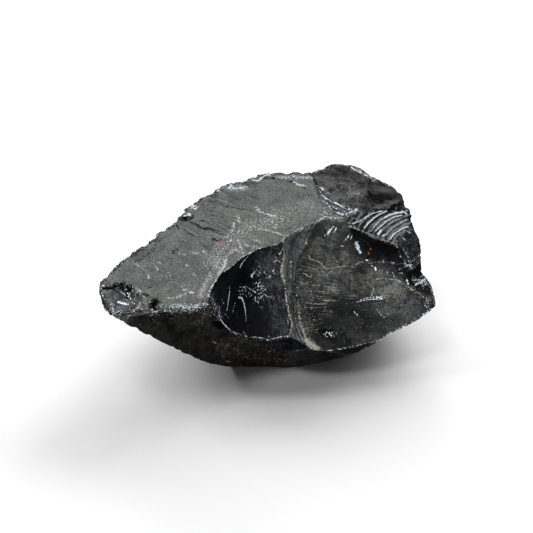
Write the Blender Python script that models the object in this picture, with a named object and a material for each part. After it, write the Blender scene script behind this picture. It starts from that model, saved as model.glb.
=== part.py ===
"""A chunk of obsidian: one broken block of volcanic glass that fills a hand.

Units are millimetres in the tables and metres in the finished mesh. X runs along the longest side, Y
away from the side with the deep scoop, and Z up from the flat underside it rests on. The finished mesh
is moved so that its origin is under the middle of its outline.

The block is a closed net of ridges. Each ridge is a line of measured points between two named corners,
and each facet is a skin stretched over a loop of ridges, then pushed in by the depth of the flake that
left it.
"""

import math
from dataclasses import dataclass

import bmesh
import bpy
import numpy as np
from mathutils import Vector, geometry, noise

MM = 0.001

RIDGE_WANDER = 0.3  # sideways wander of a broken edge
WANDER_SHIFTS = (0.0, 31.7, 57.3)  # keep the wander along the three axes apart
LUMP_SIZE = 9.0
RIM_FADE = 1.6  # distance over which a facet's relief dies out towards its ridges
MIDDLE = (2.0, -2.0, 19.0)  # a point well inside the block
OUTLINE_MIDDLE = (1.3, -1.21, 0.0)  # the middle of the outline, which becomes the origin

CORNERS = {
    # the worn top and the left end
    "tip": (-56, -25.5, 33),
    "toe": (-47.5, -42.5, 31),
    "nick": (-37.5, -40, 32),
    "prow": (-19, -37, 33),
    "back_left": (-20, 22.5, 36.5),
    "back": (-2.5, 33, 37.5),
    # the upper ends of the flake scars
    "saddle": (5.5, -5.5, 35.5),
    "fold": (19.5, 5.5, 36.5),
    "peak": (28, 4.5, 36.5),
    "crook": (33.5, 14, 34.5),
    "notch": (16.5, 33.5, 38),
    "crest": (27.5, 38.5, 38.5),
    # the right-hand end
    "shoulder": (51.5, 24.5, 29),
    "elbow": (53, 15, 27.5),
    "spur": (45.5, -2, 31),
    "pinch": (48, -6, 26.5),
    "flank": (55, 0.5, 22),
    "sink": (49, -12.5, 22.5),
    "heel": (55.5, -5.5, 20.5),
    "fork": (51.5, -14.5, 21.5),
    "beak": (57, -21.5, 18),
    # the lower ends of the flake scars
    "lip": (14.5, -33.5, 11),
    "root": (8.5, -30.5, 13),
    "gum": (0, -32.5, 13),
    "seam": (6, -31, 6.5),
    "stem": (41.5, -28, 12),
    # the widest line round the back
    "rib_west": (-43, -9, 21),
    "rib_north_west": (-31, 15, 20),
    "rib_north": (-11, 33, 18),
    "rib_crest": (13, 40, 20),
    "rib_east": (44, 33, 15),
    "rib_south_east": (54, 6, 11),
    # the flat underside
    "foot_left": (-12, -31, 0),
    "foot_front": (7, -31.5, 0),
    "foot_right": (24, -27, 0),
    "foot_east": (27, -8, 0),
    "foot_north": (17, 15, 0),
    "foot_north_west": (-6, 20, 0),
    "foot_west": (-21, 3, 0),
}

RIDGES = {
    # round the worn top
    "tip_edge": ("tip", (-56, -27, 31.5), (-55.5, -30.5, 30.5), (-53.5, -35.5, 30), (-51, -39, 30.5), "toe"),
    "tip_brow": (
        "tip", (-53.5, -27.5, 33), (-51, -27, 33), (-48.5, -26, 33.5), (-45, -28, 33.5), (-42, -31.5, 33),
        (-39, -36, 33), "nick",
    ),
    "tip_front": ("toe", (-44, -41.5, 31.5), (-41, -41, 32), "nick"),
    "front_brow": (
        "nick", (-34.5, -40, 32.5), (-30.5, -40, 32.5), (-26.5, -40, 32.5), (-22.5, -39.5, 32.5),
        "prow",
    ),
    "scoop_brow": (
        "prow", (-19, -33.5, 33.5), (-18.5, -30, 34), (-17, -26, 34), (-15.5, -22.5, 34.5),
        (-12.5, -19.5, 34.5), (-9, -15, 35), (-5.5, -11.5, 35), (-2, -9.5, 35.5), (1, -8.5, 35.5),
        (3.5, -7.5, 35.5), "saddle",
    ),
    "band_brow": ("saddle", (8, -2.5, 36), (11.5, 0.5, 36), (15.5, 3.5, 36.5), "fold"),
    "face_brow": ("fold", (22.5, 6, 36.5), (25, 5.5, 36.5), "peak"),
    "rim_west": (
        "tip", (-54.5, -23.5, 33.5), (-51.5, -17.5, 33.5), (-47.5, -12, 34), (-43.5, -7.5, 34.5),
        (-41, -4.5, 34.5), (-38, 0, 35), (-34.5, 3.5, 35), (-31.5, 8.5, 35.5), (-29, 13, 36),
        (-26.5, 16, 36), (-23.5, 19.5, 36.5), "back_left",
    ),
    "rim_north_west": ("back_left", (-17, 25.5, 37), (-13.5, 27.5, 37), (-8.5, 29.5, 37), "back"),
    "rim_north": ("back", (2.5, 34, 37.5), (7.5, 33.5, 38), (12, 33.5, 38), "notch"),
    # the step and the rippled scar at the right
    "step_foot": (
        "notch", (17, 28.5, 37.5), (18, 23, 37.5), (19, 17.5, 37), (21.5, 13.5, 37), (24, 9.5, 36.5),
        (26.5, 6.5, 36.5), "peak",
    ),
    "step_top": (
        "notch", (18.5, 29, 36.5), (20.5, 25.5, 35.5), (23.5, 21.5, 35), (27, 17.5, 35),
        (30.5, 14.5, 35), "crook",
    ),
    "step_end": ("peak", (30.5, 9.5, 35.5), "crook"),
    "ripple_top": ("crook", (38, 16.5, 33.5), (43, 19, 32), (47.5, 21.5, 30.5), "shoulder"),
    "ripple_end": ("shoulder", (53, 20.5, 28.5), "elbow"),
    "ripple_low": ("spur", (47, 2.5, 30.5), (50, 9, 29), "elbow"),
    "ridge": ("peak", (30.5, 3, 36), (33, 1.5, 35), (37, -0.5, 33.5), (41, -1.5, 32.5), "spur"),
    "rim_lobe": ("notch", (20.5, 35.5, 38.5), (24, 37.5, 39), "crest"),
    "rim_east": (
        "crest", (32, 38, 38), (35.5, 37.5, 37), (40, 35, 35), (45, 33, 33), (47.5, 32, 32), (50, 30, 30.5),
        "shoulder",
    ),
    # the crushed right-hand end
    "spur_low": ("spur", (46.5, -3, 29), "pinch"),
    "crush_side": ("elbow", (54, 11.5, 26.5), (55.5, 7.5, 25), (55.5, 3.5, 23.5), "flank"),
    "crush_low": ("pinch", (49, -7, 25), (51, -7.5, 24), (53, -4, 23), "flank"),
    "wall_low": ("pinch", (49, -8.5, 25), (49.5, -10.5, 23.5), "sink"),
    "flank_side": ("flank", (55, -3, 21), "heel"),
    "heel_in": ("fork", (53, -10.5, 22), "heel"),
    "sink_low": ("sink", "fork"),
    "beak_side": ("heel", (58, -10.5, 19.5), (58.5, -16, 18.5), (58.5, -19.5, 18), "beak"),
    "beak_in": ("fork", (53.5, -17.5, 20.5), (55, -20.5, 19), "beak"),
    # down the flake scars
    "wall_foot": (
        "peak", (29.5, 2.5, 34.5), (30.5, 0.5, 32), (32.5, -2.5, 29), (35, -4, 27), (39, -4.5, 26.5),
        (42.5, -4.5, 26), (45, -6.5, 25), (47, -10, 23.5), "sink",
    ),
    "groove": (
        "fold", (16.5, 1.5, 35), (13.5, -3.5, 32), (11.5, -8, 28.5), (10.5, -13.5, 24.5),
        (10.5, -19.5, 20.5), (11, -25, 16), (12.5, -29.5, 13), "lip",
    ),
    "streak": (
        "saddle", (6, -9, 32), (5.5, -11, 30), (5.5, -13.5, 26.5), (7, -17.5, 23), (8, -21.5, 20),
        (8.5, -26, 16.5), "root",
    ),
    "scoop_front": (
        "prow", (-17.5, -37, 29.5), (-15.5, -36, 25.5), (-13.5, -35.5, 22.5), (-11, -35, 19), (-8, -34, 17),
        (-4.5, -33.5, 15), "gum",
    ),
    "pocket_left": ("gum", (3, -31.5, 12.5), "root"),
    "pocket_right": ("root", (11.5, -31.5, 12), "lip"),
    "pocket_foot": ("gum", (-1, -32, 10), (1.5, -31.5, 8), "seam"),
    "pocket_end": ("seam", (11, -33, 9), "lip"),
    "face_low": (
        "lip", (19, -34, 10), (24.5, -33.5, 10), (29, -32.5, 10.5), (34, -31.5, 11), (38, -30.5, 11.5),
        "stem",
    ),
    "beak_low": ("stem", (45, -27, 13), (49, -25.5, 14.5), (53, -24, 16), "beak"),
    # the lower outline
    "keel": (
        "toe", (-42.5, -43.5, 28), (-36.5, -42, 22.5), (-30, -40, 16), (-27.5, -39, 13.5), (-22.5, -37, 8.5),
        (-17.5, -34.5, 4), "foot_left",
    ),
    "seam_low": ("seam", "foot_front"),
    "stem_low": ("foot_right", (29, -28, 3), (34, -29, 6.5), "stem"),
    "beak_under": ("beak", (57, -8, 13), "rib_south_east"),
    # down from the back rim to the widest line
    "tip_under": ("tip", (-52, -19, 27.5), "rib_west"),
    "drop_north_west": ("back_left", (-25, 20, 28), "rib_north_west"),
    "drop_north": ("back", (-7, 34.5, 27), "rib_north"),
    "drop_crest": ("crest", (20, 41, 29), "rib_crest"),
    "drop_east": ("shoulder", (49, 31, 22), "rib_east"),
    # along the widest line
    "girdle_west": ("rib_west", (-38, 4, 19), "rib_north_west"),
    "girdle_north_west": ("rib_north_west", (-22, 26, 20), "rib_north"),
    "girdle_north": ("rib_north", (1, 38, 17), "rib_crest"),
    "girdle_crest": ("rib_crest", (29, 39, 16), "rib_east"),
    "girdle_east": ("rib_east", (52, 19, 14), "rib_south_east"),
    # down to the flat underside
    "leg_west": ("rib_west", (-33, -3, 9), "foot_west"),
    "leg_north_west": ("rib_north", (-10, 28, 8), "foot_north_west"),
    "leg_north": ("rib_east", (31, 26, 6.5), "foot_north"),
    "leg_east": ("rib_south_east", (41, 0, 4), "foot_east"),
    "foot_a": ("foot_left", (-5.5, -31, 0), (2, -31, 0), "foot_front"),
    "foot_b": ("foot_front", (14.5, -30, 0), "foot_right"),
    "foot_c": ("foot_right", (24.5, -20, 0), (28, -15, 0), "foot_east"),
    "foot_d": ("foot_east", (24, 1, 0), (22, 9, 0), "foot_north"),
    "foot_e": ("foot_north", (9, 16, 0), (2, 21, 0), "foot_north_west"),
    "foot_f": ("foot_north_west", (-11, 13, 0), (-18, 9, 0), "foot_west"),
    "foot_g": ("foot_west", (-17, -8, 0), (-18, -19, 0), "foot_left"),
}


@dataclass(frozen=True)
class Rings:
    """Ripples round the point that was struck."""

    centre: tuple
    pitch: float
    height: float

    def rise(self, point):
        """How far the ripples stand out at the point."""
        reach = math.dist(point, self.centre)
        return 0.5 * self.height * math.cos(math.tau * reach / self.pitch)

    def outline(self, axes):
        """No points: ripples have no sharp edge."""
        return np.empty((0, 3))


@dataclass(frozen=True)
class Ribs:
    """Fine ridges that fan out from a point, `spacing` degrees apart, seen along Z."""

    centre: tuple
    spacing: float
    height: float

    def rise(self, point):
        """How far the ribs stand out at the point."""
        angle = math.degrees(math.atan2(point[1] - self.centre[1], point[0] - self.centre[0]))
        return 0.5 * self.height * math.cos(math.tau * angle / self.spacing)

    def outline(self, axes):
        """No points: ribs have no sharp edge."""
        return np.empty((0, 3))


@dataclass(frozen=True)
class Pit:
    """A round chip `across` wide. A negative depth makes a lump."""

    at: tuple
    across: float
    depth: float

    def rise(self, point):
        """How far the pit's floor lies under the facet at the point."""
        return -self.depth * max(0.0, 1 - (2 * math.dist(point, self.at) / self.across) ** 2)

    def outline(self, axes):
        """Points on the pit's edge, half-way down it and at its middle."""
        turns = np.arange(10)[:, None] * math.tau / 10
        ring = np.cos(turns) * axes[0] + np.sin(turns) * axes[1]
        outer, inner = 0.5 * self.across * ring, 0.27 * self.across * ring
        return np.vstack([self.at + outer, self.at + inner, [self.at]])


@dataclass(frozen=True)
class Ledge:
    """A thin flake lifted off on the right of a line, which comes back up to the surface over `width`."""

    start: tuple
    end: tuple
    drop: float
    width: float

    def rise(self, point):
        """How far the surface drops at the point."""
        line = np.array(self.end) - self.start
        length = np.linalg.norm(line)
        to_point = np.array(point) - self.start
        along = to_point @ line / length**2
        beside = (to_point[0] * line[1] - to_point[1] * line[0]) / length
        if beside < 0 or not 0 < along < 1:
            return 0.0
        return -self.drop * math.exp(-beside / self.width) * min(1.0, 5 * along, 5 - 5 * along)

    def outline(self, axes):
        """Points along the top and the foot of the step."""
        start, end = np.array(self.start, float), np.array(self.end, float)
        count = round(np.linalg.norm(end - start) / 1.3) + 1
        line = start + np.linspace(0, 1, count)[:, None] * (end - start)
        beside = 0.15 * np.cross(end - start, axes[2]) / np.linalg.norm(end - start)
        return np.vstack([line - beside, line + beside])


@dataclass(frozen=True)
class Facet:
    """A skin over a loop of ridges, pushed in by `hollow`, with points about `pitch` apart."""

    ridges: tuple
    hollow: float
    pitch: float
    lumps: float = 0.0
    relief: tuple = ()


FACETS = {
    "worn_top": Facet(
        (
            "rim_west", "rim_north_west", "rim_north", "step_foot", "face_brow", "band_brow", "scoop_brow",
            "front_brow", "tip_brow",
        ),
        0.0, 2.0, 0.45,
        (
            Pit((-28.5, 8.5, 35.5), 6.5, 1.5),
            Pit((-36, -36.5, 33), 5, 1.6),
            Ledge((-27, 5, 35.5), (-18, 0.5, 35.5), 0.9, 3.0),
            Ledge((-19.5, -3, 35.5), (-14.5, -5.5, 35), 0.7, 2.5),
            Ledge((7, 29, 37.5), (15, 24.5, 37.5), 0.7, 3.0),
            Ledge((-24, 17.5, 36), (-13, 10.5, 36), 0.5, 2.0),
        ),
    ),
    "tip": Facet(("tip_edge", "tip_brow", "tip_front"), 1.4, 1.5, 0.5, (Pit((-46.5, -29, 32.5), 7, 1.3),)),
    "front": Facet(
        ("front_brow", "scoop_front", "pocket_foot", "seam_low", "foot_a", "keel", "tip_front"),
        0.6, 2.1, 0.4,
        (Pit((-16, -36, 23.5), 4, 1.5), Pit((-5, -32.5, 10), 13, 1.0), Pit((-26, -38.5, 19), 22, 0.8)),
    ),
    "scoop": Facet(
        ("scoop_brow", "streak", "pocket_left", "scoop_front"),
        5.0, 1.6, 0.1,
        (Ribs((2, 6, 40), 7.0, 0.25),),
    ),
    "band": Facet(("band_brow", "groove", "pocket_right", "streak"), 0.8, 1.6, 0.1),
    "face": Facet(
        ("face_brow", "wall_foot", "sink_low", "beak_in", "beak_low", "face_low", "groove"),
        1.5, 2.0, 0.15,
        (
            Pit((21, -28.5, 13), 5, 0.9),
            Pit((14, -31, 12.5), 6, -0.6),
            Rings((27, 9, 40), 9.0, 0.4),
            Ledge((33, -13.5, 21), (46.5, -11.5, 22.5), 0.6, 4.0),
        ),
    ),
    "wall": Facet(("ridge", "spur_low", "wall_low", "wall_foot"), 1.0, 1.5),
    "ripple": Facet(
        ("step_end", "ripple_top", "ripple_end", "ripple_low", "ridge"),
        1.4, 0.85, 0.0,
        (Rings((60, -8, 26), 2.2, 0.5),),
    ),
    "step": Facet(("step_foot", "step_top", "step_end"), 0.5, 1.1, 0.0, (Rings((46, 40, 44), 2.0, 0.3),)),
    "lobe": Facet(
        ("rim_lobe", "rim_east", "ripple_top", "step_top"),
        -0.8, 1.7, 0.5,
        (Rings((18, 62, 48), 7.5, 0.6), Pit((41, 22, 34), 12, 1.0), Pit((27, 24, 36.5), 9, 0.7)),
    ),
    "crush": Facet(("ripple_low", "crush_side", "crush_low", "spur_low"), 0.6, 1.2, 1.0),
    "sink": Facet(("crush_low", "flank_side", "heel_in", "sink_low", "wall_low"), 0.8, 1.4),
    "beak": Facet(("heel_in", "beak_side", "beak_in"), 0.6, 1.2, 1.0),
    "pocket": Facet(("pocket_left", "pocket_right", "pocket_end", "pocket_foot"), 2.6, 1.2),
    "strip": Facet(("pocket_end", "face_low", "stem_low", "foot_b", "seam_low"), 0.6, 2.0, 0.15),
    "west": Facet(("rim_west", "drop_north_west", "girdle_west", "tip_under"), 1.2, 3.0, 0.6),
    "north_west": Facet(
        ("rim_north_west", "drop_north", "girdle_north_west", "drop_north_west"), 1.8, 3.0, 0.5
    ),
    "north": Facet(
        ("rim_north", "rim_lobe", "drop_crest", "girdle_north", "drop_north"),
        2.2, 3.0, 0.3,
        (Rings((14, 38, 44), 8.0, 0.6),),
    ),
    "north_east": Facet(("rim_east", "drop_east", "girdle_crest", "drop_crest"), 2.0, 3.0, 0.3),
    "east": Facet(
        (
            "drop_east", "ripple_end", "crush_side", "flank_side", "beak_side", "beak_under", "girdle_east",
        ),
        2.0, 2.6, 0.3,
    ),
    "under_beak": Facet(("beak_low", "beak_under", "leg_east", "foot_c", "stem_low"), 2.5, 3.0, 0.2),
    "under_east": Facet(("girdle_east", "leg_east", "foot_d", "leg_north"), 2.5, 3.2, 0.3),
    "under_north": Facet(
        ("girdle_crest", "leg_north", "foot_e", "leg_north_west", "girdle_north"), 3.0, 3.2, 0.3
    ),
    "under_north_west": Facet(
        ("girdle_north_west", "leg_north_west", "foot_f", "leg_west", "girdle_west"), 2.5, 3.2, 0.3
    ),
    "under_west": Facet(("tip_under", "leg_west", "foot_g", "keel", "tip_edge"), 2.5, 3.0, 0.3),
    "flat": Facet(("foot_a", "foot_b", "foot_c", "foot_d", "foot_e", "foot_f", "foot_g"), 0.0, 60.0),
}


# ---------------------------------------------------------------- ridges


def ridge_points(name):
    """The ridge's corners and measured points, in order."""
    first, *middle, last = RIDGES[name]
    return np.array([CORNERS[first], *middle, CORNERS[last]], float)


def through(points, spacing):
    """A smooth line through the points, sampled about every `spacing`."""
    ends = np.vstack([2 * points[0] - points[1], points, 2 * points[-1] - points[-2]])
    line = []
    for before, start, stop, after in zip(ends, ends[1:], ends[2:], ends[3:]):
        count = max(1, round(np.linalg.norm(stop - start) / spacing))
        for t in np.arange(count) / count:
            line.append(
                0.5 * (
                    2 * start
                    + (stop - before) * t
                    + (2 * before - 5 * start + 4 * stop - after) * t**2
                    + (3 * start - before - 3 * stop + after) * t**3
                )
            )
    return np.array([*line, points[-1]])


def wandering(line, amount):
    """The line with its inner points moved about, as a break wanders."""
    moved = line.copy()
    for index, point in enumerate(line[1:-1], 1):
        moved[index] += [
            amount * noise.noise(Vector(point * 0.37) + Vector((shift,) * 3)) for shift in WANDER_SHIFTS
        ]
    return moved


def ridge_lines():
    """Every ridge as a sampled line. A ridge is as fine as the finer of its two facets."""
    lines = {}
    for name in RIDGES:
        pitch = min(facet.pitch for facet in FACETS.values() if name in facet.ridges)
        line = through(ridge_points(name), pitch)
        lines[name] = line if name.startswith("foot_") else wandering(line, RIDGE_WANDER)
    return lines


def loop_of(facet, lines):
    """The facet's ridges joined end to end into one closed loop of points."""
    left = [lines[name] for name in facet.ridges]
    loop = list(left.pop(0))
    while left:
        for index, line in enumerate(left):
            if np.allclose(line[0], loop[-1]):
                break
            if np.allclose(line[-1], loop[-1]):
                left[index] = line[::-1]
                break
        loop.extend(left.pop(index)[1:])
    return np.array(loop[:-1])


# ---------------------------------------------------------------- facets


def frame_of(loop):
    """The loop's middle and three axes, the last one pointing out of the block."""
    middle = loop.mean(axis=0)
    out = np.cross(loop - middle, np.roll(loop, -1, axis=0) - middle).sum(axis=0)
    out *= np.sign(out @ (middle - MIDDLE)) / np.linalg.norm(out)
    across = np.cross((0.0, 1.0, 0.0) if abs(out[2]) > 0.9 else (0.0, 0.0, 1.0), out)
    across /= np.linalg.norm(across)
    return middle, np.array([across, np.cross(out, across), out])


def rim_distance(points, loop):
    """How far each point of the plane is from the loop's nearest side."""
    start = loop[None]
    side = np.roll(loop, -1, axis=0)[None] - start
    to_point = points[:, None] - start
    along = np.clip((to_point * side).sum(-1) / (side**2).sum(-1), 0, 1)
    return np.linalg.norm(to_point - along[..., None] * side, axis=-1).min(axis=1)


def inside(points, loop):
    """Which points of the plane lie inside the loop."""
    x, y = points[:, None, 0], points[:, None, 1]
    x0, y0 = loop[:, 0], loop[:, 1]
    x1, y1 = np.roll(x0, -1), np.roll(y0, -1)
    crossing = (y0 > y) != (y1 > y)
    at = x0 + (y - y0) * (x1 - x0) / np.where(y1 == y0, 1, y1 - y0)
    return (crossing & (x < at)).sum(axis=1) % 2 == 1


def inner_points(loop, pitch, marks):
    """Points inside the loop, clear of its sides: the marks' own, and rows `pitch` apart round them."""
    low, high = loop.min(axis=0), loop.max(axis=0)
    rows = np.arange(low[1], high[1], pitch * math.sqrt(0.75))
    grid = [
        (x, y)
        for index, y in enumerate(rows)
        for x in np.arange(low[0] + pitch * 0.5 * (index % 2), high[0], pitch)
    ]
    grid = np.array(grid or [(low[0], low[1])])
    grid = grid[inside(grid, loop)]
    grid = grid[rim_distance(grid, loop) > 0.55 * pitch] if len(grid) else grid
    marks = marks[inside(marks, loop)]
    if not len(marks):
        return grid
    marks = marks[rim_distance(marks, loop) > 0.3 * pitch]
    apart = np.linalg.norm(grid[:, None] - marks[None], axis=-1).min(axis=1)
    return np.vstack([marks, grid[apart > 0.5 * pitch]])


def skin_heights(count, heights, triangles, hollow):
    """Heights of all points: a slack skin over the rim's heights, pushed in by `hollow` at its deepest."""
    total = 1 + max(max(triangle) for triangle in triangles)
    pull = np.zeros((total, total))
    for a, b, c in triangles:
        for i, j in ((a, b), (b, c), (c, a)):
            pull[i, j] = pull[j, i] = 1.0
    pull -= np.diag(pull.sum(axis=1))
    free = slice(count, total)
    slack = np.linalg.solve(pull[free, free], -pull[free, :count] @ heights)
    pushed = np.linalg.solve(pull[free, free], -np.ones(total - count))
    return np.concatenate([heights, slack - hollow * pushed / pushed.max()])


def skin(facet, lines):
    """The facet's points in millimetres and its triangles, as rows of three indices."""
    loop = loop_of(facet, lines)
    middle, axes = frame_of(loop)
    flat = (loop - middle) @ axes.T
    marks = np.vstack([np.empty((0, 3)), *(mark.outline(axes) for mark in facet.relief)])
    grid = inner_points(flat[:, :2], facet.pitch, (marks - middle) @ axes[:2].T)
    plane = np.vstack([flat[:, :2], grid]) if len(grid) else flat[:, :2]
    sides = [(i, (i + 1) % len(loop)) for i in range(len(loop))]
    found = geometry.delaunay_2d_cdt([Vector(p) for p in plane], sides, [], 1, 1e-6)
    triangles = found[2]
    if not len(grid):
        return loop, triangles
    heights = skin_heights(len(loop), flat[:, 2], triangles, facet.hollow)
    points = np.column_stack([plane, heights]) @ axes + middle
    fade = np.clip(rim_distance(plane, flat[:, :2]) / RIM_FADE, 0, 1)
    relief = np.array([relief_at(facet, point) for point in points])
    return points + (fade * relief)[:, None] * axes[2], triangles


# ---------------------------------------------------------------- relief


def lumps(point, size):
    """Rounded lumps about `size` across, between -1 and 1."""
    return noise.fractal(Vector(point) / size, 1.0, 2.0, 2)


def relief_at(facet, point):
    """How far the facet's surface stands out at the point."""
    return facet.lumps * lumps(point, LUMP_SIZE) + sum(mark.rise(point) for mark in facet.relief)


# ---------------------------------------------------------------- the block


def build_block():
    """One closed mesh of all the facets."""
    lines = ridge_lines()
    mesh = bmesh.new()
    for facet in FACETS.values():
        points, triangles = skin(facet, lines)
        verts = [mesh.verts.new(Vector(point) * MM) for point in points]
        for triangle in triangles:
            mesh.faces.new([verts[index] for index in triangle])
    bmesh.ops.remove_doubles(mesh, verts=mesh.verts, dist=0.00001)
    bmesh.ops.recalc_face_normals(mesh, faces=mesh.faces)
    bmesh.ops.translate(mesh, vec=-Vector(OUTLINE_MIDDLE) * MM, verts=mesh.verts)
    data = bpy.data.meshes.new("obsidian_chunk")
    mesh.to_mesh(data)
    mesh.free()
    block = bpy.data.objects.new("obsidian_chunk", data)
    bpy.context.scene.collection.objects.link(block)
    return block


def obsidian():
    """Dull black volcanic glass."""
    material = bpy.data.materials.new("obsidian")
    material.use_nodes = True
    shader = material.node_tree.nodes["Principled BSDF"]
    shader.inputs["Base Color"].default_value = (0.03, 0.031, 0.034, 1)
    shader.inputs["Roughness"].default_value = 0.25
    return material


for old in list(bpy.data.objects):
    bpy.data.objects.remove(old)
build_block().data.materials.append(obsidian())
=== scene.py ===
"""The obsidian chunk's looks: the block refined into a broken stone, its finishes and its studio.

The tables are in millimetres, x to the right, y away and z up, measured from the middle of the table
that the stone was laid out on. The block itself stands on the middle of its own outline, OUTLINE_MIDDLE
away from there.
"""

import logging
import math
from dataclasses import dataclass, field
from enum import Enum

import bpy
import numpy as np
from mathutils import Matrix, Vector, kdtree, noise


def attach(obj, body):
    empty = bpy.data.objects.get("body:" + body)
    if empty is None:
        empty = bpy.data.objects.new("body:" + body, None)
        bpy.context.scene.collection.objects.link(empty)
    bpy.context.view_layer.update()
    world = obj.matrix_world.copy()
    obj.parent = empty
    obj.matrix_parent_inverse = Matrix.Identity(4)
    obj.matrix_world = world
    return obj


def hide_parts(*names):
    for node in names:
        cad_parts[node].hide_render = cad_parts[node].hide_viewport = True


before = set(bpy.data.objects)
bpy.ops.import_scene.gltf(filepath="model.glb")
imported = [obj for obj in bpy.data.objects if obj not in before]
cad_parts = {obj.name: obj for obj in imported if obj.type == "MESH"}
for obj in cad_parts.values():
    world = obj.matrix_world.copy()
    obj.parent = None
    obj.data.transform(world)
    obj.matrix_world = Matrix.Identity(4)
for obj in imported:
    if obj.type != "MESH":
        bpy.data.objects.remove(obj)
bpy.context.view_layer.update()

MM = 0.001
OUTLINE_MIDDLE = np.array([1.3, -1.21, 0.0])

Point = tuple[float, float, float]
Colour = tuple[float, float, float]
Span = tuple[float, float]
Socket = bpy.types.NodeSocket

CORNERS: dict[str, Point] = {
    # the worn top and the left end
    "tip": (-56, -25.5, 33),
    "toe": (-47.5, -42.5, 31),
    "nick": (-37.5, -40, 32),
    "prow": (-19, -37, 33),
    "back_left": (-20, 22.5, 36.5),
    "back": (-2.5, 33, 37.5),
    # the upper ends of the flake scars
    "saddle": (5.5, -5.5, 35.5),
    "fold": (19.5, 5.5, 36.5),
    "peak": (28, 4.5, 36.5),
    "crook": (33.5, 14, 34.5),
    "notch": (16.5, 33.5, 38),
    "crest": (27.5, 38.5, 38.5),
    # the right-hand end
    "shoulder": (51.5, 24.5, 29),
    "elbow": (53, 15, 27.5),
    "spur": (45.5, -2, 31),
    "pinch": (48, -6, 26.5),
    "flank": (55, 0.5, 22),
    "sink": (49, -12.5, 22.5),
    "heel": (55.5, -5.5, 20.5),
    "fork": (51.5, -14.5, 21.5),
    "beak": (57, -21.5, 18),
    # the lower ends of the flake scars
    "lip": (14.5, -33.5, 11),
    "root": (8.5, -30.5, 13),
    "gum": (0, -32.5, 13),
    "seam": (6, -31, 6.5),
    "stem": (41.5, -28, 12),
    # the widest line round the back
    "rib_west": (-43, -9, 21),
    "rib_north_west": (-31, 15, 20),
    "rib_north": (-11, 33, 18),
    "rib_crest": (13, 40, 20),
    "rib_east": (44, 33, 15),
    "rib_south_east": (54, 6, 11),
    # the flat underside
    "foot_left": (-12, -31, 0),
    "foot_front": (7, -31.5, 0),
    "foot_right": (24, -27, 0),
    "foot_east": (27, -8, 0),
    "foot_north": (17, 15, 0),
    "foot_north_west": (-6, 20, 0),
    "foot_west": (-21, 3, 0),
}

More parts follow.
